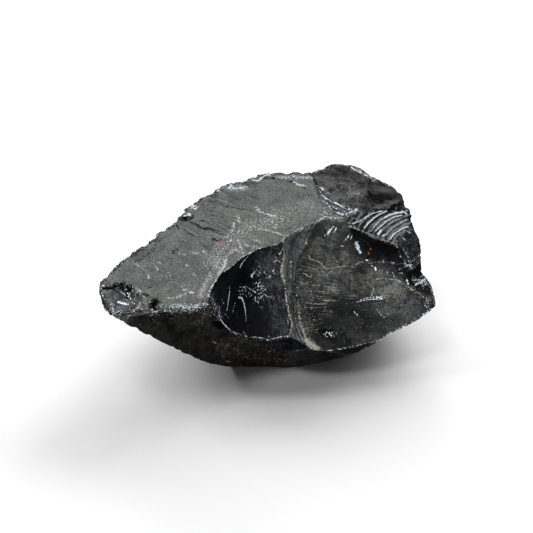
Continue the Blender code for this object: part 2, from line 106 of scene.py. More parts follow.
RIDGES: dict[str, tuple] = {
    # round the worn top
    "tip_edge": ("tip", (-56, -27, 31.5), (-55.5, -30.5, 30.5), (-53.5, -35.5, 30), (-51, -39, 30.5), "toe"),
    "tip_brow": (
        "tip", (-53.5, -27.5, 33), (-51, -27, 33), (-48.5, -26, 33.5), (-45, -28, 33.5), (-42, -31.5, 33),
        (-39, -36, 33), "nick",
    ),
    "tip_front": ("toe", (-44, -41.5, 31.5), (-41, -41, 32), "nick"),
    "front_brow": (
        "nick", (-34.5, -40, 32.5), (-30.5, -40, 32.5), (-26.5, -40, 32.5), (-22.5, -39.5, 32.5),
        "prow",
    ),
    "scoop_brow": (
        "prow", (-19, -33.5, 33.5), (-18.5, -30, 34), (-17, -26, 34), (-15.5, -22.5, 34.5),
        (-12.5, -19.5, 34.5), (-9, -15, 35), (-5.5, -11.5, 35), (-2, -9.5, 35.5), (1, -8.5, 35.5),
        (3.5, -7.5, 35.5), "saddle",
    ),
    "band_brow": ("saddle", (8, -2.5, 36), (11.5, 0.5, 36), (15.5, 3.5, 36.5), "fold"),
    "face_brow": ("fold", (22.5, 6, 36.5), (25, 5.5, 36.5), "peak"),
    "rim_west": (
        "tip", (-54.5, -23.5, 33.5), (-51.5, -17.5, 33.5), (-47.5, -12, 34), (-43.5, -7.5, 34.5),
        (-41, -4.5, 34.5), (-38, 0, 35), (-34.5, 3.5, 35), (-31.5, 8.5, 35.5), (-29, 13, 36),
        (-26.5, 16, 36), (-23.5, 19.5, 36.5), "back_left",
    ),
    "rim_north_west": ("back_left", (-17, 25.5, 37), (-13.5, 27.5, 37), (-8.5, 29.5, 37), "back"),
    "rim_north": ("back", (2.5, 34, 37.5), (7.5, 33.5, 38), (12, 33.5, 38), "notch"),
    # the step and the rippled scar at the right
    "step_foot": (
        "notch", (17, 28.5, 37.5), (18, 23, 37.5), (19, 17.5, 37), (21.5, 13.5, 37), (24, 9.5, 36.5),
        (26.5, 6.5, 36.5), "peak",
    ),
    "step_top": (
        "notch", (18.5, 29, 36.5), (20.5, 25.5, 35.5), (23.5, 21.5, 35), (27, 17.5, 35),
        (30.5, 14.5, 35), "crook",
    ),
    "step_end": ("peak", (30.5, 9.5, 35.5), "crook"),
    "ripple_top": ("crook", (38, 16.5, 33.5), (43, 19, 32), (47.5, 21.5, 30.5), "shoulder"),
    "ripple_end": ("shoulder", (53, 20.5, 28.5), "elbow"),
    "ripple_low": ("spur", (47, 2.5, 30.5), (50, 9, 29), "elbow"),
    "ridge": ("peak", (30.5, 3, 36), (33, 1.5, 35), (37, -0.5, 33.5), (41, -1.5, 32.5), "spur"),
    "rim_lobe": ("notch", (20.5, 35.5, 38.5), (24, 37.5, 39), "crest"),
    "rim_east": (
        "crest", (32, 38, 38), (35.5, 37.5, 37), (40, 35, 35), (45, 33, 33), (47.5, 32, 32), (50, 30, 30.5),
        "shoulder",
    ),
    # the crushed right-hand end
    "spur_low": ("spur", (46.5, -3, 29), "pinch"),
    "crush_side": ("elbow", (54, 11.5, 26.5), (55.5, 7.5, 25), (55.5, 3.5, 23.5), "flank"),
    "crush_low": ("pinch", (49, -7, 25), (51, -7.5, 24), (53, -4, 23), "flank"),
    "wall_low": ("pinch", (49, -8.5, 25), (49.5, -10.5, 23.5), "sink"),
    "flank_side": ("flank", (55, -3, 21), "heel"),
    "heel_in": ("fork", (53, -10.5, 22), "heel"),
    "sink_low": ("sink", "fork"),
    "beak_side": ("heel", (58, -10.5, 19.5), (58.5, -16, 18.5), (58.5, -19.5, 18), "beak"),
    "beak_in": ("fork", (53.5, -17.5, 20.5), (55, -20.5, 19), "beak"),
    # down the flake scars
    "wall_foot": (
        "peak", (29.5, 2.5, 34.5), (30.5, 0.5, 32), (32.5, -2.5, 29), (35, -4, 27), (39, -4.5, 26.5),
        (42.5, -4.5, 26), (45, -6.5, 25), (47, -10, 23.5), "sink",
    ),
    "groove": (
        "fold", (16.5, 1.5, 35), (13.5, -3.5, 32), (11.5, -8, 28.5), (10.5, -13.5, 24.5),
        (10.5, -19.5, 20.5), (11, -25, 16), (12.5, -29.5, 13), "lip",
    ),
    "streak": (
        "saddle", (6, -9, 32), (5.5, -11, 30), (5.5, -13.5, 26.5), (7, -17.5, 23), (8, -21.5, 20),
        (8.5, -26, 16.5), "root",
    ),
    "scoop_front": (
        "prow", (-17.5, -37, 29.5), (-15.5, -36, 25.5), (-13.5, -35.5, 22.5), (-11, -35, 19), (-8, -34, 17),
        (-4.5, -33.5, 15), "gum",
    ),
    "pocket_left": ("gum", (3, -31.5, 12.5), "root"),
    "pocket_right": ("root", (11.5, -31.5, 12), "lip"),
    "pocket_foot": ("gum", (-1, -32, 10), (1.5, -31.5, 8), "seam"),
    "pocket_end": ("seam", (11, -33, 9), "lip"),
    "face_low": (
        "lip", (19, -34, 10), (24.5, -33.5, 10), (29, -32.5, 10.5), (34, -31.5, 11), (38, -30.5, 11.5),
        "stem",
    ),
    "beak_low": ("stem", (45, -27, 13), (49, -25.5, 14.5), (53, -24, 16), "beak"),
    # the lower outline
    "keel": (
        "toe", (-42.5, -43.5, 28), (-36.5, -42, 22.5), (-30, -40, 16), (-27.5, -39, 13.5), (-22.5, -37, 8.5),
        (-17.5, -34.5, 4), "foot_left",
    ),
    "seam_low": ("seam", "foot_front"),
    "stem_low": ("foot_right", (29, -28, 3), (34, -29, 6.5), "stem"),
    "beak_under": ("beak", (57, -8, 13), "rib_south_east"),
    # down from the back rim to the widest line
    "tip_under": ("tip", (-52, -19, 27.5), "rib_west"),
    "drop_north_west": ("back_left", (-25, 20, 28), "rib_north_west"),
    "drop_north": ("back", (-7, 34.5, 27), "rib_north"),
    "drop_crest": ("crest", (20, 41, 29), "rib_crest"),
    "drop_east": ("shoulder", (49, 31, 22), "rib_east"),
    # along the widest line
    "girdle_west": ("rib_west", (-38, 4, 19), "rib_north_west"),
    "girdle_north_west": ("rib_north_west", (-22, 26, 20), "rib_north"),
    "girdle_north": ("rib_north", (1, 38, 17), "rib_crest"),
    "girdle_crest": ("rib_crest", (29, 39, 16), "rib_east"),
    "girdle_east": ("rib_east", (52, 19, 14), "rib_south_east"),
    # down to the flat underside
    "leg_west": ("rib_west", (-33, -3, 9), "foot_west"),
    "leg_north_west": ("rib_north", (-10, 28, 8), "foot_north_west"),
    "leg_north": ("rib_east", (31, 26, 6.5), "foot_north"),
    "leg_east": ("rib_south_east", (41, 0, 4), "foot_east"),
    "foot_a": ("foot_left", (-5.5, -31, 0), (2, -31, 0), "foot_front"),
    "foot_b": ("foot_front", (14.5, -30, 0), "foot_right"),
    "foot_c": ("foot_right", (24.5, -20, 0), (28, -15, 0), "foot_east"),
    "foot_d": ("foot_east", (24, 1, 0), (22, 9, 0), "foot_north"),
    "foot_e": ("foot_north", (9, 16, 0), (2, 21, 0), "foot_north_west"),
    "foot_f": ("foot_north_west", (-11, 13, 0), (-18, 9, 0), "foot_west"),
    "foot_g": ("foot_west", (-17, -8, 0), (-18, -19, 0), "foot_left"),
}


# ---------------------------------------------------------------- the net of ridges


def through(points: np.ndarray, spacing: float) -> np.ndarray:
    """A smooth line through the points, sampled about every `spacing`.

    Args:
        points: the points, one a row.
        spacing: the distance between samples.

    Returns:
        The samples, one a row.
    """
    ends = np.vstack([2 * points[0] - points[1], points, 2 * points[-1] - points[-2]])
    line = []
    for before, start, stop, after in zip(ends, ends[1:], ends[2:], ends[3:]):
        count = max(1, round(np.linalg.norm(stop - start) / spacing))
        for t in np.arange(count) / count:
            line.append(
                0.5 * (
                    2 * start
                    + (stop - before) * t
                    + (2 * before - 5 * start + 4 * stop - after) * t**2
                    + (3 * start - before - 3 * stop + after) * t**3
                )
            )
    return np.array([*line, points[-1]])


@dataclass(frozen=True)
class RidgeNet:
    """The ridges that the stone's facets meet along, as the block has them."""

    wander: float = 0.3
    waves: float = 0.37
    shifts: Point = (0.0, 31.7, 57.3)

    def points(self, name: str) -> np.ndarray:
        """The ridge's corners and measured points, in order."""
        first, *middle, last = RIDGES[name]
        return np.array([CORNERS[first], *middle, CORNERS[last]], float)

    def line(self, name: str) -> np.ndarray:
        """The ridge as the block samples it: as fine as the finer of its two facets.

        Args:
            name: the ridge.

        Returns:
            The block's own points along the ridge, one a row.
        """
        pitch = min(look.pitch for look in FACETS.values() if name in look.ridges)
        line = through(self.points(name), pitch)
        if not name.startswith("foot_"):
            for index, point in enumerate(line[1:-1].copy(), 1):
                line[index] += [
                    self.wander * noise.noise(Vector(point * self.waves) + Vector((shift,) * 3))
                    for shift in self.shifts
                ]
        return line


# ---------------------------------------------------------------- relief


def fractal(points: np.ndarray, size: float, octaves: int = 3) -> np.ndarray:
    """Smooth noise between about -1 and 1.

    Args:
        points: where, one a row.
        size: the width of its largest lumps.
        octaves: how many finer layers it has.

    Returns:
        One height for each point.
    """
    return np.array([noise.fractal(p, 1.0, 2.0, octaves) for p in (points / size).tolist()])


@dataclass(frozen=True)
class Grain:
    """Uneven lumps all over a facet."""

    size: float
    height: float
    octaves: int = 3

    def rise(self, points: np.ndarray) -> np.ndarray:
        """How far the surface stands out at each point."""
        return self.height * fractal(points, self.size, self.octaves)


@dataclass(frozen=True)
class Rings:
    """Ripples round the point that a flake was struck from, with a crest `first` away from it."""

    centre: Point
    pitch: float
    height: float
    first: float = 0.0
    waver: float = 0.6
    sharp: float = 0.0
    shine: float = 0.0

    def turn(self, points: np.ndarray) -> np.ndarray:
        """The ripples' phase at each point, 0 on a crest."""
        away = np.linalg.norm(points - self.centre, axis=1) + self.waver * fractal(points, 9.0, 2)
        return 2 * np.pi * (away - self.first) / self.pitch

    def rise(self, points: np.ndarray) -> np.ndarray:
        """How far the surface stands out at each point."""
        turn = self.turn(points)
        return self.height * np.cos(turn + self.sharp * np.sin(turn))

    def glint(self, points: np.ndarray) -> np.ndarray:
        """How much painted glint each point gets in its colour, for being on a crest."""
        crest = np.clip((np.cos(self.turn(points)) - 0.45) / 0.55, 0, 1)
        return self.shine * crest * np.clip(0.75 + 1.1 * fractal(points, 5.0, 2), 0.1, 1)


@dataclass(frozen=True)
class Ribs:
    """Low ribs that run out from the point that a flake was struck from."""

    centre: Point
    axis: Point
    spacing: float
    height: float

    def rise(self, points: np.ndarray) -> np.ndarray:
        """How far the surface stands out at each point."""
        angle = turn_about(points, self.centre, self.axis)
        away = np.linalg.norm(points - self.centre, axis=1)
        lines = np.column_stack([angle * 57.3 / self.spacing, away / 30, np.zeros(len(points))])
        return self.height * fractal(lines, 1.0, 2)


@dataclass(frozen=True)
class Shatter:
    """Small flat breaks at odd angles to each other."""

    size: float
    height: float
    tilt: float = 0.5

    def rise(self, points: np.ndarray) -> np.ndarray:
        """How far the surface stands out at each point."""
        heights = []
        for place in (points / self.size).tolist():
            middle = noise.voronoi(place)[1][0]
            lean = noise.cell_vector(middle * 7.31)
            heights.append(self.tilt * lean.dot(Vector(place) - middle) + 0.5 * noise.cell(middle * 3.7))
        return self.height * np.array(heights)


@dataclass(frozen=True)
class Pit:
    """A hollow with an uneven edge."""

    at: Point
    across: float
    depth: float

    def rise(self, points: np.ndarray) -> np.ndarray:
        """How far the surface stands out at each point."""
        away = np.linalg.norm(points - self.at, axis=1) * 2 / self.across
        near = np.flatnonzero(away < 1.6)
        away[near] *= 1 + 0.55 * fractal(points[near], 1.6, 2)
        return -self.depth * np.clip(1.15 * (1 - away**2), 0, 1)


def turn_about(points: np.ndarray, centre: Point, axis: Point) -> np.ndarray:
    """The angle of each point round an axis through a centre.

    Args:
        points: where, one a row.
        centre: a point of the axis.
        axis: the axis's direction.

    Returns:
        Angles in radians.
    """
    out = np.array(axis, float) / np.linalg.norm(axis)
    across = np.cross(out, (0.31, 0.83, 0.46))
    across /= np.linalg.norm(across)
    up = np.cross(out, across)
    arm = points - centre
    return np.arctan2(arm @ up, arm @ across)


# ---------------------------------------------------------------- marks


CRISP_MARKS = 4


class Mark(Enum):
    """What there is at a place, or the painted glint that lies there. The first CRISP_MARKS are drawn
    crisply and the rest fade in and out.
    """

    DUST = 0
    RUST = 1
    # painted highlight: pale blue-white glints and reflections laid into the colour
    PAINTED_GLINT = 2
    DARK = 3
    FILM = 4
    LINES = 5
    SCRATCHES = 6
    WARMTH = 7

    def lay(self, shares: np.ndarray, share: np.ndarray) -> None:
        """Lays more of the mark at each point. A crisp mark covers a fainter one, and the others add up.

        Args:
            shares: how much there is of each mark, one mark a column.
            share: how much of this one to lay, one share a point.
        """
        column = shares[:, self.value]
        if self.value < CRISP_MARKS:
            column[:] = np.maximum(column, share)
        else:
            column[:] = np.clip(column + share, 0, 1)


@dataclass(frozen=True)
class Stroke:
    """A mark drawn along a line on the stone, with a groove under it where depth isn't 0."""

    mark: Mark
    points: tuple[Point, ...]
    width: float
    strength: float
    depth: float = 0.0

    def distance(self, points: np.ndarray) -> np.ndarray:
        """How far each point is from the line."""
        line = np.array(self.points, float)
        if len(line) == 1:
            return np.linalg.norm(points - line[0], axis=1)
        nearest = np.full(len(points), np.inf)
        for start, end in zip(line, line[1:]):
            side = end - start
            t = np.clip((points - start) @ side / (side @ side), 0, 1)
            nearest = np.minimum(nearest, np.linalg.norm(points - start - t[:, None] * side, axis=1))
        return nearest

    def share(self, points: np.ndarray) -> np.ndarray:
        """How much of the mark is on each point."""
        share = np.zeros(len(points))
        near = boxed(points, np.array(self.points, float), 2.5 * self.width)
        share[near] = faded(self.distance(points[near]), self.width)
        return share

    def crosses(self, points: np.ndarray, margin: float) -> np.ndarray:
        """Which points are in the stroke or within a margin of its side."""
        reach = self.width + margin
        crosses = np.zeros(len(points), bool)
        near = boxed(points, np.array(self.points, float), reach)
        crosses[near] = self.distance(points[near]) < reach
        return crosses


def boxed(points: np.ndarray, line: np.ndarray, reach: float) -> np.ndarray:
    """The numbers of the points that may be within reach of a line."""
    inside = (points > line.min(axis=0) - reach) & (points < line.max(axis=0) + reach)
    return np.flatnonzero(inside.all(axis=1))


def faded(away: np.ndarray, width: float) -> np.ndarray:
    """How much is left of a mark that far from its middle, from 1 down to 0."""
    return np.exp(-((away / width) ** 2))


def drawn(mark: Mark, *rows: tuple) -> tuple[Stroke, ...]:
    """Strokes of one mark.

    Args:
        mark: the mark.
        rows: each stroke's width, strength and groove depth, and then its points.

    Returns:
        The strokes in order.
    """
    return tuple(
        Stroke(mark, tuple(points), width, strength, depth) for width, strength, depth, *points in rows
    )


@dataclass(frozen=True)
class Wear:
    """Fine crushing along a ridge, or a painted glint along it where the mark is the painted glint."""

    ridge: str
    mark: Mark
    width: float
    strength: float


# ---------------------------------------------------------------- finishes


# the spans that most of a noise lies in: a narrow one, for crisp patches, and a wide one, for soft ones
CRISP: Span = (0.38, 0.62)
SOFT: Span = (0.3, 0.7)


class Graph:
    """Lays a material's shader nodes and wires them. Its patterns are in millimetres."""

    def __init__(self, name: str) -> None:
        """Starts a material with its shader, its coordinates and the two noises that marks break up on."""
        self.material = bpy.data.materials.new(name)
        self.material.use_nodes = True
        self.tree = self.material.node_tree
        self.shader = self.tree.nodes["Principled BSDF"]
        place = self.node("TexCoord").outputs["Object"]
        self.place = self.node("Mapping", {"Vector": place, "Scale": (1 / MM,) * 3}).outputs[0]
        self.flow = self.node("UVMap", uv_map="flow").outputs[0]
        self.fine = self.noise(1.8, 3.0, 0.7)
        self.coarse = self.noise(1.1, 4.0, 0.75)

    def node(self, kind: str, inputs: dict | None = None, **settings: object) -> bpy.types.Node:
        """Adds a node.

        Args:
            kind: its type, without "ShaderNode".
            inputs: a value or another node's output for each input, by name or number.
            settings: its own settings.

        Returns:
            The node.
        """
        made = self.tree.nodes.new("ShaderNode" + kind)
        for key, value in settings.items():
            setattr(made, key, value)
        for key, value in (inputs or {}).items():
            self.put(made.inputs[key], value)
        return made

    def put(self, socket: Socket, value: object) -> None:
        """Wires the socket, or sets it."""
        if isinstance(value, Socket):
            self.tree.links.new(value, socket)
        else:
            socket.default_value = value

    def maths(self, operation: str, *values: object, clamp: bool = False) -> Socket:
        """One sum, product or other operation on two numbers."""
        return self.node("Math", dict(enumerate(values)), operation=operation, use_clamp=clamp).outputs[0]

    def product(self, *values: object) -> Socket:
        """All the numbers multiplied together."""
        first, *rest = values
        for value in rest:
            first = self.maths("MULTIPLY", first, value)
        return first

    def between(self, value: object, span: Span, onto: Span = (0.0, 1.0)) -> Socket:
        """The value's place in a span, smoothed, as a number in another span."""
        inputs = {
            "Value": value, "From Min": span[0], "From Max": span[1], "To Min": onto[0], "To Max": onto[1],
        }
        return self.node("MapRange", inputs, interpolation_type="SMOOTHSTEP").outputs[0]

    def mix(self, share: object, under: object, over: object) -> Socket:
        """One colour laid over another, each a plain colour or another node's output."""
        under, over = (
            colour if isinstance(colour, Socket) else (*colour, 1.0) for colour in (under, over)
        )
        return self.node("MixRGB", {0: share, 1: under, 2: over}).outputs[0]

    def noise(
        self, scale: float, detail: float = 3.0, rough: float = 0.55, place: Socket | None = None
    ) -> Socket:
        """Noise of so many lumps to the millimetre."""
        place = self.place if place is None else place
        inputs = {"Vector": place, "Scale": scale, "Detail": detail, "Roughness": rough}
        return self.node("TexNoise", inputs).outputs[0]

    def stretched(self, lumps: Span) -> Socket:
        """Noise drawn out on the `flow` map, with so many lumps to the millimetre across and along."""
        place = self.node("Mapping", {"Vector": self.flow, "Scale": (*lumps, 1)}).outputs[0]
        return self.noise(1.0, 3.0, 0.6, place)

    def broken(self, share: object, grit: object, edge: float = 0.1) -> Socket:
        """A soft share broken up into crisp grains, more of them where it is greater."""
        level = self.maths("ADD", share, self.between(grit, SOFT, (-0.5, 0.5)))
        return self.between(level, (0.5, 0.5 + edge))

    def dots(self, spacing: float, share: float, size: float) -> Socket:
        """Crisp uneven specks, no more than one to a cell.

        Args:
            spacing: how wide the cells are.
            share: how many of the cells have a speck.
            size: the radius of the largest.

        Returns:
            1 on a speck and 0 elsewhere.
        """
        cell = self.node("TexVoronoi", {"Vector": self.place, "Scale": 1 / spacing})
        chance = self.node("SeparateColor", {0: cell.outputs["Color"]}).outputs[0]
        radius = self.between(chance, (1 - share, 1.0), (0.0, size / spacing))
        uneven = self.between(self.noise(2.0 / size, 2.0), SOFT, (0.0, 0.6 * size / spacing))
        away = self.maths("ADD", cell.outputs["Distance"], uneven)
        return self.between(self.maths("SUBTRACT", radius, away), (0.0, 0.06))

    def channels(self, name: str) -> tuple[Socket, ...]:
        """The four channels of a colour attribute."""
        found = self.node("Attribute", attribute_name=name, attribute_type="GEOMETRY")
        parts = self.node("SeparateColor", {0: found.outputs["Color"]}).outputs
        return parts[0], parts[1], parts[2], found.outputs["Alpha"]


@dataclass(frozen=True)
class Finish:
    """A break or crust of volcanic glass.

    Its sizes are in millimetres. The fineness of its lines and scratches is in lumps to the millimetre
    across them and along them.
    """

    name: str
    colour: Colour
    cloud: Colour
    cloud_size: float = 6.0
    grain: float = 0.3
    grain_size: float = 0.5
    film: Colour = (0.085, 0.09, 0.1)
    warm_film: Colour = (0.115, 0.1, 0.078)
    film_size: float = 2.6
    line: Colour = (0.2, 0.2, 0.2)
    cut: Colour = (0.006, 0.006, 0.007)
    lines_fine: Span = (1.9, 0.07)
    scratches_fine: Span = (0.1, 1.5)
    speck: Colour = (0.3, 0.29, 0.27)
    speck_share: float = 0.0
    speck_size: float = 0.7
    dot: Colour = (0.3, 0.3, 0.3)
    dot_share: float = 0.0
    dot_spacing: float = 1.4
    dot_size: float = 0.25
    pock: float = 0.0
    rough: Span = (0.12, 0.22)
    film_rough: float = 0.28
    dust_rough: float = 0.4
    dark_rough: float = 0.35
    specular: float = 0.5
    bump: float = 0.02
    bump_size: float = 0.7
    line_bump: float = 0.02
    dust: Colour = (0.4, 0.385, 0.32)
    rust: Colour = (0.24, 0.12, 0.05)
    # the colour of the painted glints and highlights
    painted_glint: Colour = (0.86, 0.93, 1.0)
    dark: Colour = (0.003, 0.003, 0.004)

    def material(self) -> bpy.types.Material:
        """The finish as a material.

        Returns:
            The material. Its patterns lie on Object coordinates and on the `flow` map, and its film, lines
            and marks are where the points' `cover` and `marks` attributes have them.
        """
        graph = Graph(self.name)
        dust, rust, painted_glint, dark = graph.channels("marks")
        film, lines, scratches, warmth = graph.channels("cover")
        filmed = self.mottled(graph, film)
        drawn, carved = self.streaks(graph, lines)
        colour = self.body(graph, filmed, warmth)
        colour = graph.mix(carved, colour, self.cut)
        colour = graph.mix(graph.product(drawn, 0.6), colour, self.line)
        colour = graph.mix(self.hairs(graph, scratches), colour, self.line)
        colour = self.speckled(graph, colour)
        blackened = graph.broken(dark, graph.coarse, 0.14)
        dusted = graph.broken(dust, graph.fine, 0.16)
        colour = graph.mix(blackened, colour, self.dark)
        colour = graph.mix(dusted, colour, self.dust)
        colour = graph.mix(graph.broken(rust, graph.coarse, 0.3), colour, self.rust)
        # painted glints: highlights laid into the base colour where the marks have them
        colour = graph.mix(graph.broken(painted_glint, graph.fine), colour, self.painted_glint)
        shader = graph.shader.inputs
        graph.put(shader["Base Color"], colour)
        graph.put(shader["Roughness"], self.gloss(graph, filmed, dusted, blackened))
        graph.put(shader["Normal"], self.surface(graph, drawn, carved))
        graph.put(shader["Specular IOR Level"], self.specular)
        return graph.material

    def mottled(self, graph: Graph, film: Socket) -> Socket:
        """The film's share, uneven at three sizes."""
        mottle = graph.between(graph.noise(1 / self.film_size, 6.0, 0.72), (0.36, 0.66), (0.15, 1.75))
        blotched = graph.product(film, mottle, graph.between(graph.coarse, SOFT, (0.5, 1.5)))
        return graph.maths("MULTIPLY", blotched, graph.between(graph.fine, CRISP, (0.4, 1.6)), clamp=True)

    def body(self, graph: Graph, filmed: Socket, warmth: Socket) -> Socket:
        """The colour of the clouded glass or crust and of the film on it, with its grain."""
        clouds = graph.between(graph.noise(1 / self.cloud_size, 5.0, 0.6), CRISP)
        colour = graph.mix(clouds, self.colour, self.cloud)
        colour = graph.mix(filmed, colour, graph.mix(warmth, self.film, self.warm_film))
        grain = graph.noise(1 / self.grain_size, 3.0, 0.75)
        shade = graph.between(grain, CRISP, (1 - self.grain, 1 + self.grain))
        return graph.node("VectorMath", {0: colour, 1: shade}, operation="MULTIPLY").outputs[0]

    def streaks(self, graph: Graph, lines: Socket) -> tuple[Socket, Socket]:
        """The shares of pale lines and of dark ones, both of them wider where there are more lines."""
        strands = graph.stretched(self.lines_fine)
        dearth = graph.product(graph.maths("SUBTRACT", 1.0, lines), 0.25)
        drawn = graph.between(graph.maths("SUBTRACT", strands, dearth), (0.53, 0.61))
        carved = graph.between(graph.maths("ADD", strands, dearth), (0.47, 0.4))
        return drawn, carved

    def hairs(self, graph: Graph, scratches: Socket) -> Socket:
        """The share of fine pale scratches, which come in patches."""
        patchy = graph.between(graph.noise(0.35), (0.4, 0.6))
        dearth = graph.product(graph.maths("SUBTRACT", 1.0, scratches), 0.25)
        scored = graph.between(
            graph.maths("SUBTRACT", graph.stretched(self.scratches_fine), dearth), (0.5, 0.54)
        )
        return graph.product(scored, patchy, 0.85)

    def speckled(self, graph: Graph, colour: Socket) -> Socket:
        """The colour with the finish's own blotches, dots and pocks."""
        if self.speck_share:
            low = 0.72 - self.speck_share
            specks = graph.between(graph.noise(1 / self.speck_size, 3.0, 0.8), (low, low + 0.04))
            colour = graph.mix(specks, colour, self.speck)
        if self.dot_share:
            dots = graph.dots(self.dot_spacing, self.dot_share, self.dot_size)
            colour = graph.mix(dots, colour, self.dot)
        if self.pock:
            pocks = graph.between(graph.noise(0.9, 3.0, 0.8), (0.3 + self.pock, 0.27 + self.pock))
            colour = graph.mix(pocks, colour, self.dark)
        return colour

    def gloss(self, graph: Graph, filmed: Socket, dusted: Socket, blackened: Socket) -> Socket:
        """The roughness, greater under film and dust and less in the dark hollows."""
        gloss = graph.between(graph.noise(0.3), (0.35, 0.65), self.rough)
        gloss = graph.maths("ADD", gloss, graph.product(filmed, self.film_rough))
        gloss = graph.maths("ADD", gloss, graph.product(dusted, self.dust_rough))
        return graph.product(gloss, graph.between(blackened, (0.0, 1.0), (1.0, self.dark_rough)))

    def surface(self, graph: Graph, drawn: Socket, carved: Socket) -> Socket:
        """The finest unevenness, and the lines standing out or cut in."""
        height = graph.noise(1 / self.bump_size, 5.0, 0.65)
        inputs = {"Height": height, "Distance": self.bump * MM, "Strength": 1.0}
        uneven = graph.node("Bump", inputs).outputs[0]
        lined = graph.maths("SUBTRACT", graph.product(drawn, 0.5), carved)
        inputs = {"Height": lined, "Distance": self.line_bump * MM, "Strength": 1.0, "Normal": uneven}
        return graph.node("Bump", inputs).outputs[0]


CRUST = Finish(
    "worn_crust", (0.096, 0.104, 0.105), (0.153, 0.156, 0.149), grain=0.42, grain_size=0.55,
    film=(0.21, 0.22, 0.215), warm_film=(0.15, 0.147, 0.13),
    line=(0.3, 0.31, 0.3), cut=(0.03, 0.03, 0.029), lines_fine=(1.1, 0.09), line_bump=0.08,
    speck=(0.45, 0.46, 0.45), speck_share=0.08, speck_size=0.6, pock=0.06,
    dot=(0.5, 0.52, 0.51), dot_share=0.4, dot_spacing=1.6, dot_size=0.32,
    rough=(0.6, 0.78), specular=0.3, bump=0.24, bump_size=0.9, dust=(0.62, 0.64, 0.62),
)
DULL = Finish(
    "dull_break", (0.009, 0.0085, 0.0084), (0.025, 0.0235, 0.022), 4.0, grain=0.6, grain_size=0.6,
    speck=(0.15, 0.14, 0.125), speck_share=0.075, speck_size=1.3,
    dot=(0.22, 0.21, 0.19), dot_share=0.3, dot_spacing=1.7, dot_size=0.28,
    rough=(0.4, 0.62), specular=0.3, bump=0.3, bump_size=1.2,
)
GLASS = Finish(
    "clean_break", (0.0028, 0.003, 0.0042), (0.005, 0.0055, 0.0075), grain=0.35,
    line=(0.15, 0.16, 0.19), dot=(0.4, 0.42, 0.46), dot_share=0.1, dot_spacing=1.4, dot_size=0.16,
    specular=0.4,
)
RIPPLED = Finish(
    "rippled_break", (0.003, 0.0033, 0.0045), (0.012, 0.013, 0.014), 3.0, grain=0.4,
    line=(0.36, 0.4, 0.44), scratches_fine=(0.07, 2.3),
    dot=(0.4, 0.42, 0.46), dot_share=0.2, dot_spacing=1.2, dot_size=0.18, specular=0.45,
)
SATIN = Finish(
    "satin_break", (0.006, 0.0066, 0.0075), (0.02, 0.0208, 0.02), 5.0, grain=0.5,
    film=(0.107, 0.119, 0.13), warm_film=(0.138, 0.14, 0.126), film_size=4.5,
    line=(0.38, 0.385, 0.37), scratches_fine=(0.12, 2.4),
    speck=(0.32, 0.325, 0.31), speck_share=0.06, speck_size=0.6,
    dot=(0.36, 0.375, 0.37), dot_share=0.5, dot_spacing=1.1, dot_size=0.21,
    rough=(0.2, 0.34), bump=0.04,
)
CRUSHED = Finish(
    "crushed_break", (0.005, 0.005, 0.006), (0.03, 0.031, 0.032), 2.2, grain=0.6,
    speck=(0.5, 0.53, 0.56), speck_share=0.09, speck_size=0.6,
    dot=(0.6, 0.64, 0.68), dot_share=0.5, dot_spacing=0.9, dot_size=0.24,
    rough=(0.12, 0.34), bump=0.22, bump_size=0.8,
)
LOBE = Finish(
    "brown_break", (0.0045, 0.0044, 0.0046), (0.017, 0.0162, 0.015), 5.0, grain=0.5, grain_size=0.6,
    film=(0.13, 0.135, 0.14), warm_film=(0.14, 0.137, 0.125), line=(0.26, 0.26, 0.25),
    speck=(0.18, 0.175, 0.165), speck_share=0.06,
    dot=(0.26, 0.26, 0.25), dot_share=0.3, dot_spacing=1.3, dot_size=0.22,
    rough=(0.32, 0.48), specular=0.35, bump=0.1, bump_size=1.1,
)
FINISHES = (CRUST, DULL, GLASS, RIPPLED, SATIN, CRUSHED, LOBE)


# ---------------------------------------------------------------- the facets


@dataclass(frozen=True)
class Rim:
    """Patches of crushed glass along a ridge, as far as the reach from it."""

    ridge: str
    reach: float


@dataclass(frozen=True)
class Facet:
    """One facet: its ridges, the pitch of the block's triangles in it, and its looks.

    Its cover is its share of film, lines, scratches and warmth. Its lines follow the guide, where it has
    one, and otherwise run out from the source.
    """

    ridges: tuple[str, ...]
    pitch: float
    finish: Finish
    relief: tuple = ()
    smooth: int = 4
    source: Point = (0.0, 0.0, 60.0)
    guide: str = ""
    cover: tuple[float, float, float, float] = (0.0, 0.2, 0.1, 0.5)
    hidden: bool = False


def underside(*ridges: str, pitch: float = 3.2) -> Facet:
    """A dull facet of the underside."""
    return Facet(ridges, pitch, DULL, (Grain(6.0, 0.4),), hidden=True)


